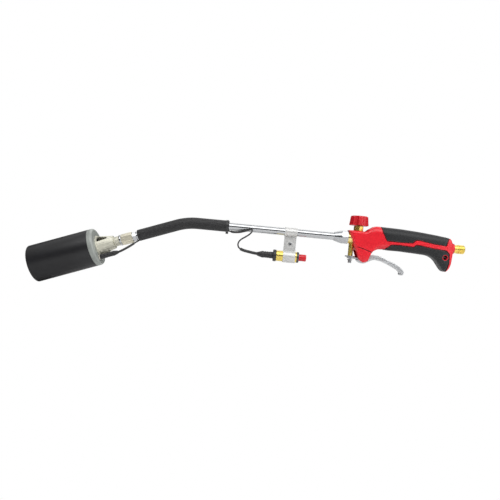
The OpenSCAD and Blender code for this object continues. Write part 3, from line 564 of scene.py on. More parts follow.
def add_bell():
    """The bell, and the plate that closes its back round the mixing tube."""
    inner, shoulder = MOUTH_R - BELL_WALL, PLATE_S + PLATE_RIM
    seat = inner - SEAM
    piece("burner_bell", lathe([
        (seat - BELL_WALL, PLATE_S + 2, 0.3), (seat, PLATE_S + 2, 0.3),
        (seat, shoulder + 0.1), (MOUTH_R, shoulder + 0.1, 0.5),
        (MOUTH_R, MOUTH_S, 0.8), (inner, MOUTH_S, 0.7),
        (inner, shoulder + 3, 2), (seat - BELL_WALL, shoulder + 1, 2)], on_lance(), sides=192))
    bore, hole_r = 11.2, 3.1
    plate = lathe([
        (bore, PLATE_S, 0.4), (MOUTH_R, PLATE_S, 6), (MOUTH_R, shoulder, 0.4),
        (inner, shoulder, 0.4), (inner, PLATE_S + BELL_WALL, 4.6),
        (bore, PLATE_S + BELL_WALL, 0.4)], on_lance(), sides=192, steps=8)
    hole = rod(on_lance(0, *ELECTRODE), hole_r, PLATE_S - 1, PLATE_S + 3)
    piece("bell_back_plate", less(plate, hole))


def add_mixer():
    """The mixing tube, and the holed disc near its end that spreads the flame."""
    bore, r, flange_r = 10, 11.1, 15
    back, front, flange = PLATE_S - 1, PLATE_S + 37, (PLATE_S + 1.6, PLATE_S + 2.8)
    piece("mixing_tube", lathe([
        (bore, back, 0.3), (r, back, 0.3), (r, flange[0]), (flange_r, flange[0], 0.3),
        (flange_r, flange[1], 0.3), (r, flange[1], 0.5), (r, front, 0.4), (bore, front, 0.4)],
        on_lance(), sides=96))
    s0, fit, disc_r, hub_r = PLATE_S + 33, r + SEAM, 20, 12.4
    spreader = lathe([
        (fit, s0, 0.2), (disc_r, s0, 0.5), (disc_r, s0 + 1.2, 0.5), (hub_r, s0 + 1.2, 0.6),
        (hub_r, s0 + 4, 0.4), (fit, s0 + 4, 0.2)], on_lance(), sides=120)
    holes, hole_r, circle_r = [], 2, 15.5
    for a in np.arange(12) * PI / 6:
        place = on_lance(0, circle_r * math.cos(a), circle_r * math.sin(a))
        holes.append(rod(place, hole_r, s0 - 1, s0 + 2, 32))
    piece("flame_spreader", less(spreader, *holes))


def add_air_cage():
    """The cast cone between the jet and the bell, with its three air windows."""
    foot, neck, wall, bore = 16.0, 10.5, 2.0, 6.1
    cage = lathe([
        (bore, CAGE_S, 0.3), (neck, CAGE_S, 0.8), (foot, PLATE_S - 1.6, 0.5),
        (foot + 1.4, PLATE_S - 1.6, 0.5), (foot + 1.4, PLATE_S, 0.2), (foot - wall, PLATE_S, 0.4),
        (neck - wall + 0.6, CAGE_S + 3.5, 1), (bore, CAGE_S + 3.5, 0.3)], on_lance(), sides=144)
    low, high = CAGE_S + 8.8, PLATE_S - 1.9
    window = rounded([(-1.8, low, 1.2), (1.8, low, 1.2), (7, high, 1.5), (-7, high, 1.5)])
    windows = []
    for turn in (-40, 80, 200):
        place = on_lance() @ Matrix.Rotation(math.radians(turn), 4, "Z")
        windows.append(loft([[place @ Vector((x, y, z)) for y, z in window] for x in (6, 20)]))
    piece("air_cage", less(cage, *windows))


def add_jet():
    """The gas jet, its holder, and the ring that locks the holder."""
    j = CAGE_S + 3.6
    piece("gas_jet", lathe([
        (1.8, j - 6, 0.2), (2.9, j - 6, 0.3), (2.9, j), (5.2, j, 0.6), (5.2, j + 4, 0.6),
        (4, j + 4, 0.2), (2, j + 11, 0.4), (0.5, j + 11, 0.2), (0.5, j + 7, 0.2),
        (1.8, j + 6, 0.2)], on_lance(), 96, hex_reach(9)))
    end, boss, well = CAGE_S - 0.1, CAGE_S + 3.5, HOLDER_S + 6.2
    piece("jet_holder", lathe([
        (5.05, HOLDER_S, 0.2), (7.75, HOLDER_S, 0.7), (7.75, end, 0.7), (6.05, end),
        (6.05, boss, 0.3), (2.95, boss, 0.2), (2.95, well, 0.2), (5.05, well, 0.2)], on_lance()))
    piece("lock_ring", lathe(pipe_corners(RING_S + 0.1, RING_S + 3.4, 8.75, 5.1, 0.9), on_lance()))


def add_coupling():
    """The hexagonal coupling behind the head, and the nut on the lance tube."""
    fit, stop = TUBE_R + SEAM, COUPLING_S + 5
    piece("head_coupling", lathe([
        (fit, COUPLING_S, 0.2), (8.3, COUPLING_S, 0.2), (9.05, COUPLING_S + 1, 0.4),
        (9.05, RING_S - 1.3, 0.4), (8.3, RING_S, 0.2), (5, RING_S), (5, RING_S + 9, 0.3),
        (3, RING_S + 9, 0.2), (3, stop, 0.2), (fit, stop, 0.2)],
        on_lance(), 192, hex_reach(16), steps=6))
    near, far, seat = NUT_S, COUPLING_S - 0.1, NUT_S + 2.7
    piece("front_tube_nut", lathe([
        (fit, near, 0.2), (7.1, near, 0.3), (8, near + 1.1, 0.4), (8, far - 1, 0.4),
        (7.2, far, 0.2), (6.6, far, 0.1), (6.6, seat, 0.2), (fit, seat, 0.1)],
        on_lance(), 192, hex_reach(14, PI / 6), steps=6))


def add_electrode():
    """The bent electrode, the insulator round it, and the boot of the lead behind it."""
    start, length, bent = on_lance(126.5, *ELECTRODE), 66.6, 40
    toward_axis = Matrix.Rotation(math.atan2(-ELECTRODE[1], -ELECTRODE[0]), 4, "Z")
    straight = lathe([(0, 0), (1, 0, 0.3), (1, length, 0.3), (0, length)], start, 32)
    tip = (start @ toward_axis @ Matrix.Translation((0, 0, length - 0.8))
           @ Matrix.Rotation(math.radians(bent), 4, "Y"))
    piece("electrode_rod", plus(straight, lathe(disc_corners(0, 8, 0.95, 0.4), tip, 32)))
    axis = on_lance(0, *ELECTRODE)
    f0, f1 = PLATE_S - 2, PLATE_S - SEAM
    piece("electrode_insulator", lathe([
        (1.05, 135, 0.2), (3, 135, 0.4), (3, f0), (4.4, f0, 0.5), (4.4, f1, 0.5),
        (3, f1, 0.3), (3, 180, 0.6), (1.05, 180, 0.3)], axis, 64))
    piece("electrode_boot", lathe([
        (1.35, 117, 0.2), (2.5, 117, 0.6), (4.1, 124, 1.5)]
        + grooves(4, 125.5, 2.6, 4.1, 3.75, 0.5, 0.3) + [(4.1, 146, 0.5),
        (3.05, 146, 0.2), (3.05, 134.8, 0.1), (1.35, 134.8, 0.1)], axis, 64))


# ---------- lance ----------

def straight_stops(length, count):
    """Distances from the bend along a straight run, closest together at its open end."""
    even = np.linspace(0.01, length, count)[:-1]
    return sorted(set(even) | {length - e for e in (0, 0.15, 0.5, 1.0, 1.8, 3.0)})


def bent_rows(front_s, rear_x, radius, sides=96):
    """Rings round the lance from front_s ahead of the bend to rear_x behind it. radius takes
    the angle from the top, and how far the ring is from the end of its straight run."""
    ahead, behind, steps, far = front_s - TANGENT, rear_x - BEND_X - TANGENT, 24, 99.0
    rings = [(BEND, run, 0.0, ahead - run) for run in straight_stops(ahead, 14)[::-1]]
    rings += [(BEND * (1 - k / steps), 0.0, 0.0, far) for k in range(steps + 1)]
    rings += [(0.0, 0.0, back, behind - back) for back in straight_stops(behind, 20)]
    rows = []
    for turn, run, back, away in rings:
        c, n = math.cos(turn), math.sin(turn)
        centre = np.array([BEND_X + TANGENT - BEND_R * n - run * c + back, 0,
                           TUBE_Z - BEND_R + BEND_R * c - run * n])
        rows.append([centre + radius(t, away) * np.array([-math.cos(t) * n, math.sin(t),
                                                          math.cos(t) * c])
                     for t in np.arange(sides) * 2 * PI / sides])
    return rows


def lip(r, soft):
    """Radius of a pipe whose ends are rounded by soft, for bent_rows."""
    def radius(t, away):
        return r - soft + math.sqrt(max(soft ** 2 - max(soft - away, 0) ** 2, 0))
    return radius


def bent_pipe(front_s, rear_x, outside, inside):
    """Pipe along the lance, with a radius function for each side of its wall."""
    outer = bent_rows(front_s, rear_x, outside)
    return loft(outer + bent_rows(front_s, rear_x, inside)[::-1], wrap=True)


def add_tube():
    def bore(t, away):
        return TUBE_R - TUBE_WALL
    piece("lance_tube", bent_pipe(COUPLING_S + 4.9, TUBE_REAR_X, lip(TUBE_R, 0.3), bore))


def add_foam():
    """The soft sleeve, with a channel for the lead along the bottom of its bore."""
    fit = TUBE_R + 0.11
    channel = LEAD_RIDE + LEAD_R + 0.25

    def bore(t, away):
        under = min(1, max(0, 1.35 - abs(t - PI) / 0.26))
        return fit + (channel - fit) * under
    sleeve = bent_pipe(FOAM_FRONT_S, FOAM_REAR_X, lip(FOAM_R, 1.6), bore)
    foam = piece("foam_sleeve", sleeve, crease=50)

    place, width = along_x(FOAM_REAR_X - 5, TUBE_Z), 4
    tie = lathe(pipe_corners(0, width, 10, 9.23, 0.3), place, 96)
    shape = rounded([(1.5, 0, 0.5), (6.5, 0, 0.5), (6.5, width, 0.5), (1.5, width, 0.5)])
    head = loft([[place @ Vector((x, y, z)) for y, z in shape] for x in (9.4, 11.2, 12.2)])
    piece("sleeve_tie", plus(tie, head))


def add_rear_nut():
    """The nut that holds the tube in the handle: a cone, then a hexagon."""
    fit, cone_end = TUBE_R + SEAM, -200.2
    hexagon = hex_reach(20, PI / 6)

    def reach(t, r, z):
        return r if z < cone_end else hexagon(t, r, z)
    piece("rear_tube_nut", lathe([
        (fit, -211.4, 0.3), (6.9, -211.4, 0.5), (10.15, -200.4, 0.4), (10.2, -200, 0.3),
        (11.4, -198.6, 0.3), (11.4, -190.2, 0.6), (10.6, -189.3, 0.2), (8, -189.3, 0.2),
        (8, -203, 0.3), (fit, -203, 0.2)], along_x(0, TUBE_Z), 192, reach, steps=6))


# ---------- igniter ----------

def add_igniter():
    """The push-button igniter: barrel, end cap, boot, collar and button."""
    place = along_x(0, IGNITER_Z)
    front, rear = BARREL_X
    piece("igniter_barrel", lathe([
        (4.3, front, 0.2), (BARREL_R, front, 0.4), (BARREL_R, rear, 0.5), (7, rear, 0.3),
        (7, front + 2, 0.5), (4.3, front + 2, 0.2)], place))
    piece("igniter_end_cap", lathe(pipe_corners(front - 5, front - SEAM, 9.5, 4.3, 0.9), place))
    piece("igniter_boot", lathe([
        (2.65, -333, 0.2), (2.9, -333, 0.4), (5.35, -325, 2)]
        + grooves(3, -322, 3.4, 5.35, 4.9, 0.6, 0.4) + [(5.35, -307.1, 0.4),
        (4.3, -307.1, 0.2), (4.3, -325, 0.2), (1.55, -325, 0.2), (1.55, -330, 0.2),
        (2.65, -330, 0.2)], place, 96))
    piece("igniter_collar", lathe(pipe_corners(rear + SEAM, rear + 3.65, 8.7, 5.7, 0.8), place))
    b, end = rear - 3, BUTTON_END_X
    piece("igniter_button", lathe([
        (2.55, b, 0.2), (6.6, b, 0.4), (6.6, b + 2.8, 0.4), (5.5, b + 2.8, 0.2),
        (5.5, end, 1.1), (3.6, end, 0.6), (0, end - 0.5), (0, b + 7), (2.55, b + 7, 0.4)],
        place, steps=7))


def add_bracket():
    """The strap that hangs the igniter under the tube, parted and clamped by one screw."""
    x0, x1 = BRACKET_X
    tube, barrel = (TUBE_R + SEAM, TUBE_Z), (BARREL_R + SEAM, IGNITER_Z)

    def band(r, z):
        return lathe(pipe_corners(x0, x1, r + STRAP, r, 0.45), along_x(0, z))

    def bore(r, z):
        return rod(along_x(0, z), r, x0 - 1, x1 + 1, 128)
    gap, edge = 0.1, 0.4
    top, bottom = TUBE_Z - 6.6, IGNITER_Z + 9.2
    web = rounded([(x0 + edge, top, 0.2), (x1 - edge, top, 0.2),
                   (x1 - edge, bottom, 0.2), (x0 + edge, bottom, 0.2)])
    parting = [(x0 - 1, TUBE_Z), (x1 + 1, TUBE_Z), (x1 + 1, IGNITER_Z), (x0 - 1, IGNITER_Z)]
    bracket = plus(band(*tube), band(*barrel))
    bracket = plus(bracket, prism(web, -STRAP - gap, STRAP + gap))
    place = across(*BRACKET_SCREW)
    less(bracket, prism(parting, -gap, gap), bore(*tube), bore(*barrel), rod(place, 1.7, -9, 9, 48))
    piece("igniter_bracket", bracket, look="bracket_steel")
    screw = lathe([(0, -3.7), (1.25, -3.7, 0.15), (1.25, -3.2), (2.4, -3.45, 0.3), (3, -1.45, 0.3),
                   (1.6, -1.45), (1.6, 5.05, 0.3), (0, 5.05)], place, 96)
    socket = lathe(disc_corners(-6, -2.35, 1.45), place, 96, hex_reach(2.5))
    piece("bracket_screw", less(screw, socket))
    piece("bracket_nut", lathe([(1.65, 1.5, 0.1), (2.8, 1.5, 0.1), (3.17, 2, 0.1), (3.17, 3.4, 0.1),
                                (2.8, 3.9, 0.1), (1.65, 3.9, 0.1)], place, 96, hex_reach(5.5)))


# ---------- handle ----------

# Rings of the handle, front to rear: top x, top z, bottom x, bottom z, half width, top corner
# radius, bottom corner radius, how far the ring bows back, wall
RINGS = np.array([
    (-189, 14.3, -171.7, -29.1, 10.6, 3, 3, 0, 2.4),
    (-185.6, 14.3, -169.9, -31.2, 13.3, 4, 3.8, 0, 2.4),
    (-180, 14.3, -167.5, -33.4, 13.8, 4, 4, 0, 2.4),
    (-172, 14.2, -162.8, -35.6, 13.8, 4, 4.5, 0, 2.4),
    (-163, 14.1, -157.5, -34.2, 13.8, 4.5, 4.5, 0, 2.4),
    (-158, 17.5, -154.6, -30.7, 13.9, 6, 4.5, 0, 2.4),
    (-153.5, 20.6, -152.6, -24.4, 14, 7.5, 5, 1, 2.4),
    (-148.4, 23.6, -149.8, -18.6, 14.2, 9, 6, 2, 2.5),
    (-144, 24.4, -146, -15, 14.5, 10, 7, 4, 3),
    (-140, 24.5, -139, -12.2, 14.8, 11, 8, 6, 3.7),
    (-137, 24.4, -131.5, -11.7, 15, 12, 8.5, 7, 3.8),
    (-125, 24.2, -122, -12.4, 15.2, 12, 8.5, 3, 3.8),
    (-106, 23.7, -106, -12.3, 15.2, 12, 8.5, 0, 3.8),
    (-88, 22.7, -88, -13, 15.1, 12, 8.5, 0, 3.8),
    (-82, 22.3, -82, -13.2, 15, 12, 8.5, 0, 3.8),
    (-67, 21.1, -67, -14, 14.7, 12, 8.5, 0, 3.8),
    (-60, 20.4, -60, -14.6, 14.5, 12, 8.5, 0, 3.8),
    (-53, 19.7, -53.4, -16.6, 14.2, 11, 8, 0, 3.8),
    (-45.5, 18.9, -46.5, -21.3, 14, 11, 8, 0, 3.8),
    (-38, 17.9, -39.1, -30.1, 13.6, 10, 7, 0, 3.8),
    (-31, 16.9, -34.5, -35.6, 13.2, 9, 6.5, 0, 3.8),
    (-28, 16.2, -32.2, -37.4, 13, 8, 6.5, 0, 3.8),
    (-25, 14.9, -29.3, -38.2, 12.2, 7, 6, 0, 3.8),
    (-23.3, 12.4, -25.6, -35.6, 11, 6, 6, 0, 3.8),
    (-21.6, 9.9, -22.3, -29.7, 9.6, 6, 6, 0, 3.8),
    (-20.6, 8.9, -20.8, -18.6, 8.8, 7, 7, 0, 3.8),
    (-19.9, 8.6, -19.9, -8.8, 8.5, 8, 8, 0, 3.8),
    (-17.3, 8.5, -17.3, -8.5, 8.3, 8, 8, 0, 3.8)])

# Side outlines of the grip pads, as corners with their rounding
PAD_UPPER = [(-138.5, 34), (-137.3, 22.3), (-135.6, 16), (-131, 7.6, 3), (-128.3, 3, 0.8),
             (-108.5, 2.5, 8), (-88, 3.3, 3), (-83, 8.2, 2.5), (-77, 8.5, 2.5), (-55.3, 5.3, 6),
             (-34, 3.6, 1.5), (-31, 13, 3), (-28, 15.5, 3), (-26.5, 34)]
PAD_LOWER = [(-131.5, -13), (-121.3, -4.1, 2), (-108.7, -3.4, 6), (-85.7, -4.6, 3),
             (-82, -1, 2.5), (-76, -0.9, 2.5), (-54.5, -3.8, 6), (-33, -5.2, 2.5),
             (-27.8, -10, 2.5), (-26.9, -23.4, 6), (-30.5, -37.5), (-31, -55), (-131.5, -55)]


def half_ring(ring, inset, seam):
    """Points of one half ring on the +Y side, from the top seam to the bottom seam."""
    top_x, top_z, low_x, low_z, half_width, top_r, low_r, bow = ring[:8]
    top, bottom = np.array([top_x, 0, top_z]), np.array([low_x, 0, low_z])
    height = np.linalg.norm(top - bottom)
    rise = (top - bottom) / height
    w = half_width - inset

    def corner(radius, z, sign):
        r = max(radius - inset, 0.5)
        angles = np.linspace(PI / 2, 0, 10) if sign > 0 else np.linspace(0, -PI / 2, 10)
        return [(w - r + r * math.cos(a), z - sign * r + r * math.sin(a)) for a in angles]
    upper, lower = corner(top_r, height - inset, 1), corner(low_r, inset, -1)
    side_top, side_low = upper[-1][1], lower[0][1]
    points = [(seam + (upper[0][0] - seam) * k / 3, upper[0][1]) for k in range(3)] + upper
    points += [(w, side_top + (side_low - side_top) * k / 8) for k in range(1, 8)]
    points += lower + [(lower[-1][0] + (seam - lower[-1][0]) * k / 3, inset) for k in range(1, 4)]
    out, crown = [], 0.035
    for y, q in points:
        u = 2 * q / height - 1
        crowned = y * (1 - crown * u * u) if y > 1 else y
        p = bottom + rise * q
        out.append((p[0] + bow * (1 - u * u), crowned, p[2]))
    return out


def half_body(inset, seam=SEAM, start=0.0, end=None):
    """One half of the handle, from a length along it to the ring end. It is shrunk by inset, or
    by the rings' own wall where that is None."""
    middle = (RINGS[:, 0:2] + RINGS[:, 2:4]) / 2
    run = np.concatenate([[0], np.cumsum(np.linalg.norm(np.diff(middle, axis=0), axis=1))])
    stop = run[-1] if end is None else run[end]
    step, closest = 1.1, 0.4
    at = np.arange(start, stop, step)
    at = np.append(at[at < stop - closest], stop)
    return loft([half_ring(ring, ring[8] if inset is None else inset, seam)
                 for ring in pchip(run, RINGS, at)])


def grown(outline, by):
    """Closed outline moved outwards by that much."""
    pts = [Vector(p) for p in outline]
    area = sum(a.x * b.y - b.x * a.y for a, b in zip(pts, pts[1:] + pts[:1]))
    turn = 1 if area > 0 else -1
    out = []
    for a, b, c in zip(pts[-1:] + pts[:-1], pts, pts[1:] + pts[:1]):
        along = (c - a).normalized()
        out.append(b + Vector((along.y, -along.x)) * by * turn)
    return out


def cut_skin(skin, outline, depth):
    """Sinks an outline of the side view into skin, to an even depth."""
    less(skin, less(prism(outline, -2, OUTSIDE), half_body(depth, seam=-1)))


def shell_skin():
    """A solid right half, with the recesses for the pads and the crease ahead of them."""
    skin = half_body(0)
    for corners in (PAD_UPPER, PAD_LOWER):
        cut_skin(skin, grown(rounded(corners), GROOVE), PAD_DEPTH)
    line, half_width, depth = [(-174.7, -11.3), (-163, -14.2), (-150.9, -18.3)], 0.7, 1.2
    crease = [(x, z + half_width) for x, z in line] + [(x, z - half_width) for x, z in line[::-1]]
    cut_skin(skin, crease, depth)
    return skin


def hollow_out(skin):
    """The inside of a shell, with its posts for the screws, the hang hole and the pin."""
    less(skin, half_body(None, seam=-1, start=2.2, end=21))
    for x, z in SCREWS:
        plus(skin, rod(across(x, z), POST_R, SEAM, 11.3))
    plus(skin, rod(across(*HANG_HOLE), HANG_BOSS_R, SEAM, 13.1))
    plus(skin, rod(across(*PIVOT), 4.2, LEVER_ROOM, 11.7))


def cut_openings(skin):
    """The hang hole, and the openings for pin, gland, tube nut, plunger, lever and inlet."""
    hang = [(0, -1), (HANG_R, -1), (HANG_R, 11.3), (4.3, 13.4), (0, 13.4)]
    less(skin, lathe(hang, across(*HANG_HOLE), 64),
         rod(across(*PIVOT), PIN_R + SEAM, -1, PIN_HALF + SEAM),
         rod(upright(KNOB_X), 5.8, 5, 25),
         rod(along_x(0, TUBE_Z), 9.4, -200, -160),
         rod(upright(PLUNGER_X), 4.3, -45, 1),
         prism([(-178, -17), (-141, -17), (-141, -45), (-178, -45)], -1, LEVER_ROOM),
         rod(along_x(0), 6.05, -40, -10),
         rod(along_x(0), 7.45, -34, -25.9))
    for x, z in SCREWS:
        less(skin, rod(across(x, z), PILOT_R, -1, 9, 32))


def add_shells():
    """The two shells. The heads of the screws sit in wells in the right one."""
    skin = shell_skin()
    hollow_out(skin)
    cut_openings(skin)
    left = mirrored(skin)
    for x, z in SCREWS:
        less(skin, rod(across(x, z), SHANK_R, 7, 17, 32), rod(across(x, z), WELL_R, 10.4, 19, 48))
    piece("handle_shell_right", skin, crease=28)
    piece("handle_shell_left", left, crease=28)


def add_pads():
    """The four grip pads. The right ones have holes over the wells."""
    for level, corners in (("upper", PAD_UPPER), ("lower", PAD_LOWER)):
        pad = within(half_body(0), prism(rounded(corners), -2, OUTSIDE))
        less(pad, half_body(PAD_DEPTH - 0.1, seam=-1))
        if level == "lower":
            less(pad, rod(across(*HANG_HOLE), HANG_BOSS_R + 0.15, 6, 20))
        piece(f"grip_pad_{level}_left", mirrored(pad), crease=28)
        for x, z in SCREWS:
            less(pad, rod(across(x, z), PAD_HOLE_R, 6, 18, 48))
        piece(f"grip_pad_{level}_right", pad, crease=28)


# ---------- valve, knob and inlet ----------

def add_gland():
    piece("valve_gland", lathe([
        (3.05, 7, 0.2), (5.5, 7, 0.3), (5.5, 14.5), (7.2, 14.5, 0.2), (8, 15.4, 0.3),
        (8, 21.5, 0.3), (7.2, 22.3, 0.2), (3.05, 22.3, 0.3), (3.05, 19), (4.6, 19), (4.6, 17),
        (3.05, 17)], upright(KNOB_X), 144, hex_reach(14, PI / 6)))


def add_inlet():
    """The threaded fitting at the rear end, which the cylinder's hose goes on."""
    root_r, crest_r, pitch, thread = 6.75, 7.14, 1.41, []
    for k in range(8):
        x = -12.1 + pitch * k
        thread += [(root_r, x), (crest_r, x + 0.5, 0.12), (crest_r, x + 0.85, 0.12),
                   (root_r, x + 1.35)]
    piece("inlet_fitting", lathe([
        (3, -34, 0.2), (6, -34, 0.3), (6, -30), (7.4, -30, 0.3), (7.4, -26, 0.3), (6, -26),
        (6, -17.2), (6.6, -17.2, 0.3), (6.6, -12.8, 0.2)] + thread + [(6.3, -0.5, 0.2), (6, 0, 0.2),
        (5.2, 0, 0.2), (3, -5, 0.6)], along_x(0), 128))


def flute(t, r, z):
    """Largest radius of the knob at the angle t, with a soft edge to each flute."""
    clear, soft, centre = 99.0, 0.7, KNOB_R + FLUTE_OUT
    reach = clear
    for k in range(FLUTES):
        a = t - k * 2 * PI / FLUTES
        across_it = centre * math.sin(a)
        if math.cos(a) > 0 and abs(across_it) < FLUTE_R:
            reach = min(reach, centre * math.cos(a) - math.sqrt(FLUTE_R ** 2 - across_it ** 2))
    if reach == clear or r < 9:
        return clear
    return -soft * math.log(math.exp(-reach / soft) + math.exp(-(r + 0.25) / soft))


def block(x, half_x, half_y, z0, z1):
    """Plain block whose middle is at x, for slots and flats."""
    signs = ((-1, -1), (1, -1), (1, 1), (-1, 1))
    return loft([[(x + a * half_x, b * half_y, z) for a, b in signs] for z in (z0, z1)])


def add_knob():
    """The fluted knob and the screw in its top."""
    top = KNOB_H
    piece("control_knob", lathe([
        (3.05, 0, 0.2), (15.1, 0, 0.5), (KNOB_R, 0.8, 0.6), (13.9, top - 1.2, 1.4),
        (12.6, top, 1.0), (5.6, top, 0.8), (5, top - 2.6, 0.4), (1.6, top - 2.6, 0.1),
        (1.6, top - 4.4), (3.05, top - 4.4)], upright(KNOB_X, KNOB_Z), 240, flute, steps=7))
    seat = KNOB_Z + top - 2.55
    screw = lathe([(0, seat - 1.6), (1.5, seat - 1.6, 0.2), (1.5, seat), (3, seat, 0.3),
                   (2.5, seat + 1.9, 0.7), (0, seat + 1.9)], upright(KNOB_X), 64)
    for half_x, half_y in ((1.8, 0.4), (0.4, 1.8)):
        less(screw, block(KNOB_X, half_x, half_y, seat + 1, seat + 4))
    piece("knob_screw", screw)


# ---------- trigger ----------

LEVER_TOP = [(-168.6, -24), (-166, -21.6), (-161, -20.8), (-152, -21.8), (-144, -21.9),
             (-138, -22.6), (-131, -24.8), (-123.5, -28), (-112.4, -32), (-101.6, -37.8),
             (-96, -43), (-95, -48)]
LEVER_BOTTOM = [(-97, -50.6), (-100.6, -50), (-101.4, -45.6), (-106.5, -41.6), (-112, -39),
                (-123.3, -34), (-130, -31.6), (-137, -30.2), (-144, -29.8), (-150, -31.6),
                (-156, -35), (-162, -37.2), (-168, -36), (-172.5, -32.6)]


def add_lever():
    """The pressed lever, rounded at its rims and hollow from above, with the fork at its front."""
    sheet, half, rim, fork_z = 1.6, 7.0, 1.1, -31.0
    top, bottom = catmull(LEVER_TOP, 5), catmull(LEVER_BOTTOM, 5)
    outline = [tuple(p) for p in top] + [tuple(p) for p in bottom]
    rims = [(half, rim), (half - 0.08, 0.7), (half - 0.35, 0.28), (half - rim, 0)]
    rows = []
    for y, shrink in [(-y, shrink) for y, shrink in rims] + rims[::-1]:
        rows.append([(p.x, y, p.y) for p in grown(outline, -shrink)])
    lever = loft(rows)
    floor = [(x + 0.5, z + sheet) for x, z in bottom[::-1]]
    less(lever, prism(floor + [(-92, 0), (-172, 0)], -half + sheet, half - sheet))
    fork = [(-187, -4, 1), (-178, -4, 2), (-172, -half, 2), (-168.5, -half), (-168.5, half),
            (-172, half, 2), (-178, 4, 2), (-187, 4, 1)]
    plus(lever, loft([[(x, y, z) for x, y in rounded(fork)] for z in (fork_z, fork_z + 2)]))
    slot_half, z0, z1 = 2.3, -33, -27
    slot = [(PLUNGER_X, -slot_half), (PLUNGER_X, slot_half), (-190, slot_half), (-190, -slot_half)]
    less(lever, rod(across(*PIVOT), PIN_R + SEAM, -10, 10),
         rod(upright(PLUNGER_X), slot_half, z0, z1),
         loft([[(x, y, z) for x, y in slot] for z in (z0, z1)]))
    piece("trigger_lever", lever, crease=30, look="lever_steel")
    piece("trigger_pin", lathe([(0, -PIN_HALF), (PIN_R, -PIN_HALF, 0.3), (PIN_R, PIN_HALF, 0.3),
                                (0, PIN_HALF)], across(*PIVOT), 64))


def add_plunger():
    """The plunger's tube, and the washer and nut that the lever pulls on."""
    low, high = PLUNGER_TUBE_Z
    place = upright(PLUNGER_X)
    piece("plunger_tube", lathe([
        (2.05, low, 0.2), (3.9, low, 0.4), (3.9, high, 0.3), (3.2, high, 0.1), (3.2, low + 2, 0.2),
        (2.05, low + 2, 0.1)], place, 96))
    piece("plunger_washer", lathe(pipe_corners(low - 2.02, low - 0.02, 8.25, 2.25, 0.5), place),
          look="zinc_steel")
    nut = lathe([(0, -38.2), (2.7, -38.2, 0.4), (2.7, -33.8), (4, -33.8, 0.4), (4, -32.3, 0.4),
                 (2.02, -32.3, 0.2), (2.02, -37.9), (0, -37.9)], place, 96)
    piece("plunger_nut", less(nut, block(PLUNGER_X, 5, 0.5, -40, -38)))


def add_spring():
    """Return spring with closed end turns."""
    low, high, mean_r, wire_r, turns, stroke = -24.65, -4.8, 2.6, 0.38, 9, 4.98
    per_turn, closed = 24, 2.1 * wire_r
    free = high - low - 2 * wire_r - 2 * closed
    path = []
    for k in range(turns * per_turn + 1):
        turn = k / per_turn
        z = closed * min(turn, 1) + free * min(max(turn - 1, 0) / (turns - 2), 1)
        z += closed * max(turn - turns + 1, 0)
        path.append((PLUNGER_X + mean_r * math.cos(2 * PI * turn),
                     mean_r * math.sin(2 * PI * turn), low + wire_r + z))

    def wire(run):
        return wire_r
    spring = piece("plunger_spring", loft(hoops(path, wire, 12)), crease=60)
    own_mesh(spring)


add_bell()
add_mixer()
add_air_cage()
add_jet()
add_coupling()
add_electrode()
add_tube()
add_foam()
add_rear_nut()
add_igniter()
add_bracket()
add_shells()
add_pads()
add_gland()
add_inlet()
add_knob()
add_lever()
add_plunger()
add_spring()


# ---------- CAD nodes that stay ----------

def dress_cad_nodes():
    """Materials and softened edges for the nodes that keep their CAD shape."""
    for name, obj in frame["nodes"].items():
        if obj.hide_render:
            continue
        obj.data.materials.clear()
        obj.data.materials.append(MATERIALS[SLOT[name]])
        weld = obj.modifiers.new("weld", "WELD")
        weld.merge_threshold = 1e-6
        edge = obj.modifiers.new("edge", "BEVEL")
        edge.width, edge.segments, edge.limit_method = 0.0001, 1, "ANGLE"
        edge.angle_limit = math.radians(40)


dress_cad_nodes()


# ---------- floor, light and world ----------

def seen_directly(tree, seen, other):
    """Shader seen for what the view shows directly, and other for what lights and reflects."""
    paths = tree.nodes.new("ShaderNodeLightPath")
    mix = tree.nodes.new("ShaderNodeMixShader")
    tree.links.new(paths.outputs["Is Camera Ray"], mix.inputs["Fac"])
    tree.links.new(other, mix.inputs[1])
    tree.links.new(seen, mix.inputs[2])
    return mix.outputs["Shader"]


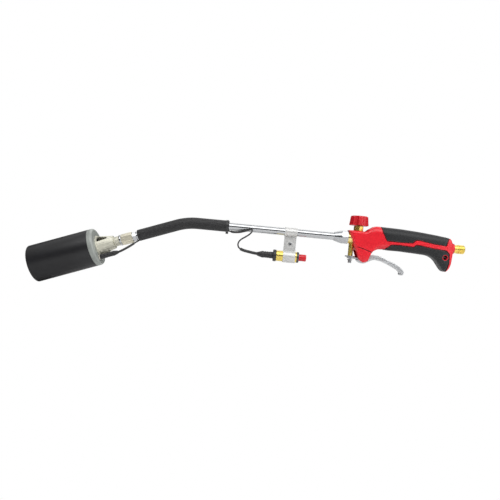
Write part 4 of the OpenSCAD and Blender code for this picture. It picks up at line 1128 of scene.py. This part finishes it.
def add_floor():
    """White floor, which darkens in the distance for what it lights and reflects."""
    low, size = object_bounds()[0][2], 30
    near_range, dim, pale = (0.6, 1.1), (0.10, 0.10, 0.10), (0.85, 0.85, 0.85)
    corners = [(-size, -size, low), (size, -size, low), (size, size, low), (-size, size, low)]
    mesh = bpy.data.meshes.new("floor")
    mesh.from_pydata(corners, [], [(0, 1, 2, 3)])
    floor = bpy.data.objects.new("floor", mesh)
    bpy.context.scene.collection.objects.link(floor)
    mat, tree, shader = node_tree("floor")
    coords = tree.nodes.new("ShaderNodeTexCoord")
    away = tree.nodes.new("ShaderNodeVectorMath")
    away.operation = "LENGTH"
    tree.links.new(coords.outputs["Object"], away.inputs[0])
    near = ranged(tree, away.outputs["Value"], 1, 0, *near_range)
    tree.links.new(mixed(tree, near, dim, pale), shader.inputs["Base Color"])
    shader.inputs["Roughness"].default_value = 0.9
    shader.inputs["Specular IOR Level"].default_value = 0.0
    white = tree.nodes.new("ShaderNodeEmission")
    white.inputs["Strength"].default_value = 1.0
    out = tree.nodes["Material Output"]
    tree.links.new(seen_directly(tree, white.outputs[0], shader.outputs[0]), out.inputs["Surface"])
    mesh.materials.append(mat)


def add_light(name, at, target, size, power):
    """A soft rectangular lamp at a place in metres, aimed at target."""
    data = bpy.data.lights.new(name, "AREA")
    data.shape, data.size, data.size_y, data.energy = "RECTANGLE", size[0], size[1], power
    light = bpy.data.objects.new(name, data)
    light.location = at
    aim = Vector(target) - Vector(at)
    light.rotation_euler = aim.to_track_quat("-Z", "Y").to_euler()
    bpy.context.scene.collection.objects.link(light)


def add_world():
    """White to the eye. What it lights and reflects is a bright roof over a dim horizon."""
    world = bpy.data.worlds.new("studio")
    bpy.context.scene.world = world
    world.use_nodes = True
    tree = world.node_tree
    studio = tree.nodes["Background"]
    coords = tree.nodes.new("ShaderNodeTexCoord")
    direction = tree.nodes.new("ShaderNodeSeparateXYZ")
    tree.links.new(coords.outputs["Generated"], direction.inputs["Vector"])
    roof_starts, horizon, white_roof = (0.5, 0.7), (0.09, 0.09, 0.095), (1, 1, 1)
    roof = ranged(tree, direction.outputs["Z"], 0, 1, *roof_starts)
    tree.links.new(mixed(tree, roof, horizon, white_roof), studio.inputs["Color"])
    studio.inputs["Strength"].default_value = 0.72
    white = tree.nodes.new("ShaderNodeBackground")
    white.inputs["Color"].default_value = (1, 1, 1, 1)
    out = tree.nodes["World Output"]
    tree.links.new(seen_directly(tree, white.outputs[0], studio.outputs[0]), out.inputs["Surface"])


add_floor()
add_world()
add_light("key", (-0.45, -0.7, 1.05), (-0.35, 0, 0), (1.8, 0.9), 9)
add_light("front", (-0.35, -1.0, 0.8), (-0.35, 0, 0), (1.8, 0.6), 5)
add_light("back", (-0.35, 0.9, 0.9), (-0.35, 0, 0), (1.8, 0.8), 5)
add_light("right", (0.6, -0.5, 0.5), (-0.5, 0, 0), (1.1, 1.1), 7)
bpy.context.scene.view_settings.view_transform = "Standard"
